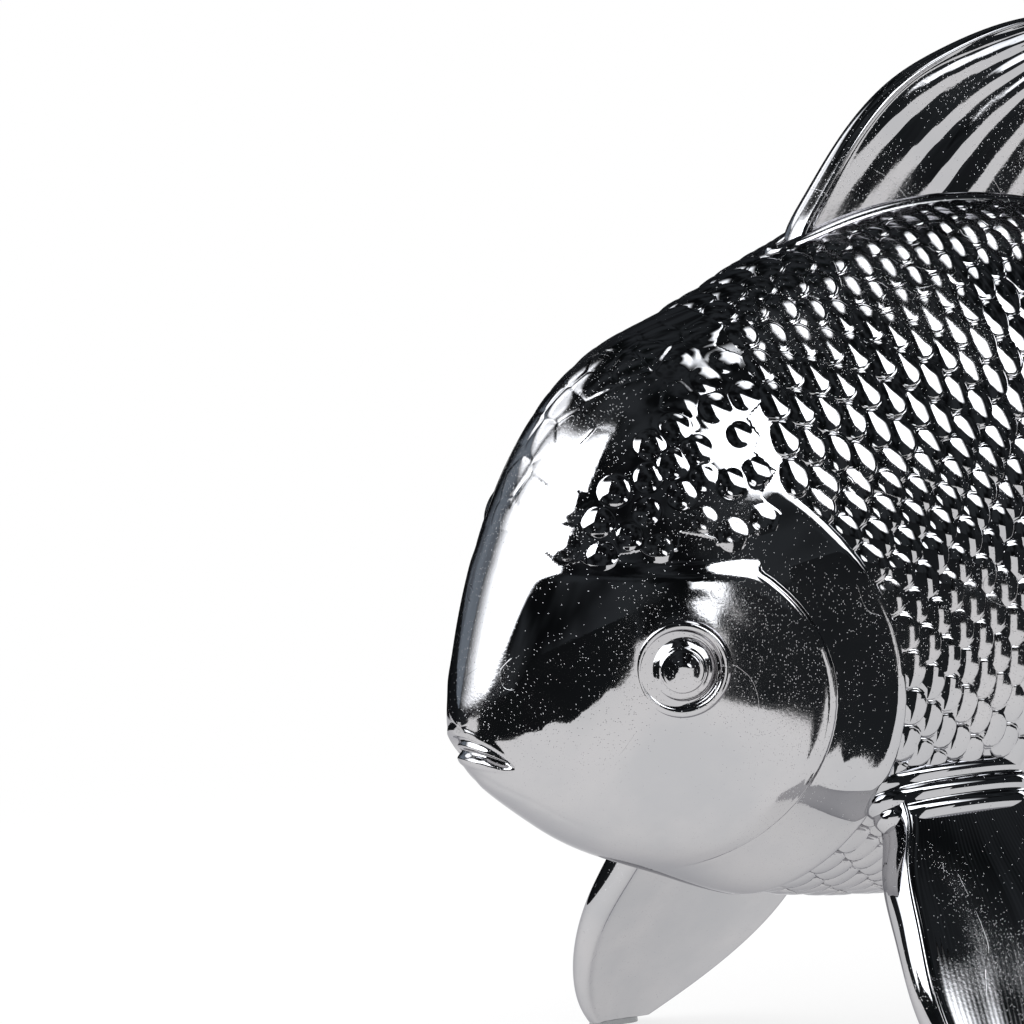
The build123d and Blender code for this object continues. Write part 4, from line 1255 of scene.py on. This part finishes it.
panels = [
    ("dark_walls", "dark_wall", room, 3.0, [(-180, -89.9, 89.9), (180, -89.9, 89.9)]),
    ("head_softbox", "head_softbox", forehead, 2.0,
     [(59, 26, 58), (68, 20, 58), (77, 15, 57), (87, 8, 56), (105, 3, 54), (153, 0, 50)]),
    ("tail_softbox", "tail_softbox", flank, 2.0,
     [(-46, 9, 30), (-36, 10, 36), (-24, 13, 44), (-4, 23, 60), (3, 38, 62)]),
    ("window", "window", cheek_top, 2.0, [(2, -2.5, 5), (8, 0.5, 10.5), (15, 6, 12)]),
    ("rear_softbox", "rear_softbox", flank, 2.0, [(-120, -8, 22), (-80, -8, 22)]),
    ("haze", "haze", forehead, 1.9, [(147, -2, 26), (165, -4, 24), (192, -6, 18)]),
    ("brow_softbox", "brow_softbox", forehead, 1.95, [(140, 24, 50), (186, 22, 46)]),
    ("top_softbox", "top_softbox", flank, 2.0, [(-115, 58, 80), (-45, 60, 82), (-15, 66, 82)]),
    ("far_flag", "flag_black", forehead, 0.5, [(122, -24, -3), (240, -24, -3)]),
    ("flank_flag", "flag_black", flank, 0.30, [(-76, -24, -2), (-36, -24, -2)]),
    ("cheek_flag", "flag_black", cheek, 0.12,
     [(-34, -45, 14), (-22, -31, 14), (-1, -25, 14), (6, -22, 14)]),
    ("snout_flag", "flag_black", snout_side, 0.13,
     [(25, -2, 10), (30, -8, 10), (36, -13, 10), (42, -28, 10), (62, -30, 8), (80, -28, 3),
      (110, -22, 2)]),
]
glows = {name: light_material(name, *settings) for name, settings in lights.items()}
for name, light, centre, distance, corners in panels:
    panel(name, glows[light], centre, distance, corners)
print(len(panels), "panels around the fish")

# %% Table, lamp and world
table_size, table_sides = 2.6, 128
paint_end, white_start, least_white = 0.14, 0.36, 0.78
paper, paper_light, white = (0.90, 0.90, 0.91, 1), (0.93, 0.93, 0.93, 1), (1, 1, 1, 1)
table_material, bench, place = new_finish("table_white")
reach = bench.add("ShaderNodeVectorMath", {0: place}, "Value", operation="LENGTH")
grain = bench.noise(place, 30.0, 2.0)
paint = bench.add("ShaderNodeBsdfDiffuse", {"Color": bench.blend(grain, paper, paper_light)})
glow = bench.add("ShaderNodeEmission", {"Color": white, "Strength": 1.0})
share = bench.step(reach, paint_end, white_start, least_white, 1.0)
sockets = {0: share, 1: paint, 2: glow}
bench.finish(bench.add("ShaderNodeMixShader", sockets))
table_mesh = bpy.data.meshes.new("table")
table_turn = np.arange(table_sides) / table_sides * 2 * pi
table_rim = [table_size * np.cos(table_turn), table_size * np.sin(table_turn), 0 * table_turn]
table_mesh.from_pydata(np.stack(table_rim, axis=-1).tolist(), [], [list(range(table_sides))])
table = new_object("table", table_mesh)
table.data.materials.append(table_material)
table.location = (-0.04, 0, -0.05 * mm)
table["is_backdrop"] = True

lamp_data = bpy.data.lights.new("overhead_lamp", "AREA")
lamp_data.shape = "DISK"
lamp_data.size = 1.2
lamp_data.energy = 8.0
lamp = new_object("overhead_lamp", lamp_data)
lamp.location = (-0.2, -0.2, 1.6)
lamp.rotation_euler = (Vector((0, 0, 0)) - lamp.location).to_track_quat("-Z", "Y").to_euler()
lamp.visible_glossy = False

world = bpy.data.worlds.new("white_studio")
bpy.context.scene.world = world
world.use_nodes = True
background = world.node_tree.nodes["Background"]
background.inputs["Color"].default_value = white
background.inputs["Strength"].default_value = 1.0
print("The table is", 2 * table_size, "m wide")

# %% [markdown]
# ## Camera
# The photograph looks at the head from 35 degrees to the front of its side and 8 degrees above,
# from about 1.1 m with a long lens. Only the front of the fish is in the frame.

# %% Camera
view_turn, view_rise, view_distance = radians(35), radians(8), 1.1
photo_width, pixels_per_mm = 1024, 5.47
aim_right, aim_up = 9.69, 36.56
frame_width = photo_width / pixels_per_mm * mm
level = cos(view_rise)
camera_right = Vector((cos(view_turn), -sin(view_turn), 0))
camera_back = Vector((-sin(view_turn) * level, -cos(view_turn) * level, sin(view_rise)))
camera_up = camera_back.cross(camera_right)
snout = Vector((snout_x, 0, snout_height))
target = snout + camera_right * aim_right * mm + camera_up * aim_up * mm
camera_data = bpy.data.cameras.new("camera")
camera_data.sensor_width = 36
camera_data.lens = camera_data.sensor_width * view_distance / frame_width
camera = new_object("camera", camera_data)
camera.location = target + camera_back * view_distance
camera.rotation_mode = "QUATERNION"
camera.rotation_quaternion = camera_back.to_track_quat("Z", "Y")
bpy.context.scene.camera = camera
bpy.context.scene.view_settings.view_transform = "Standard"
print("Lens", round(camera_data.lens, 1), "mm")

# %% [markdown]
# ## Sizes
# The dressed fish is meant to stay inside the CAD model's box, so the room left on each side of it is
# printed.

# %% Write the sizes and finish
low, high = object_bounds()
for word, room in (("low", low - cad_low), ("high", cad_high - high)):
    print("Room inside the CAD box on its", word, "sides", [round(value / mm, 2) for value in room])
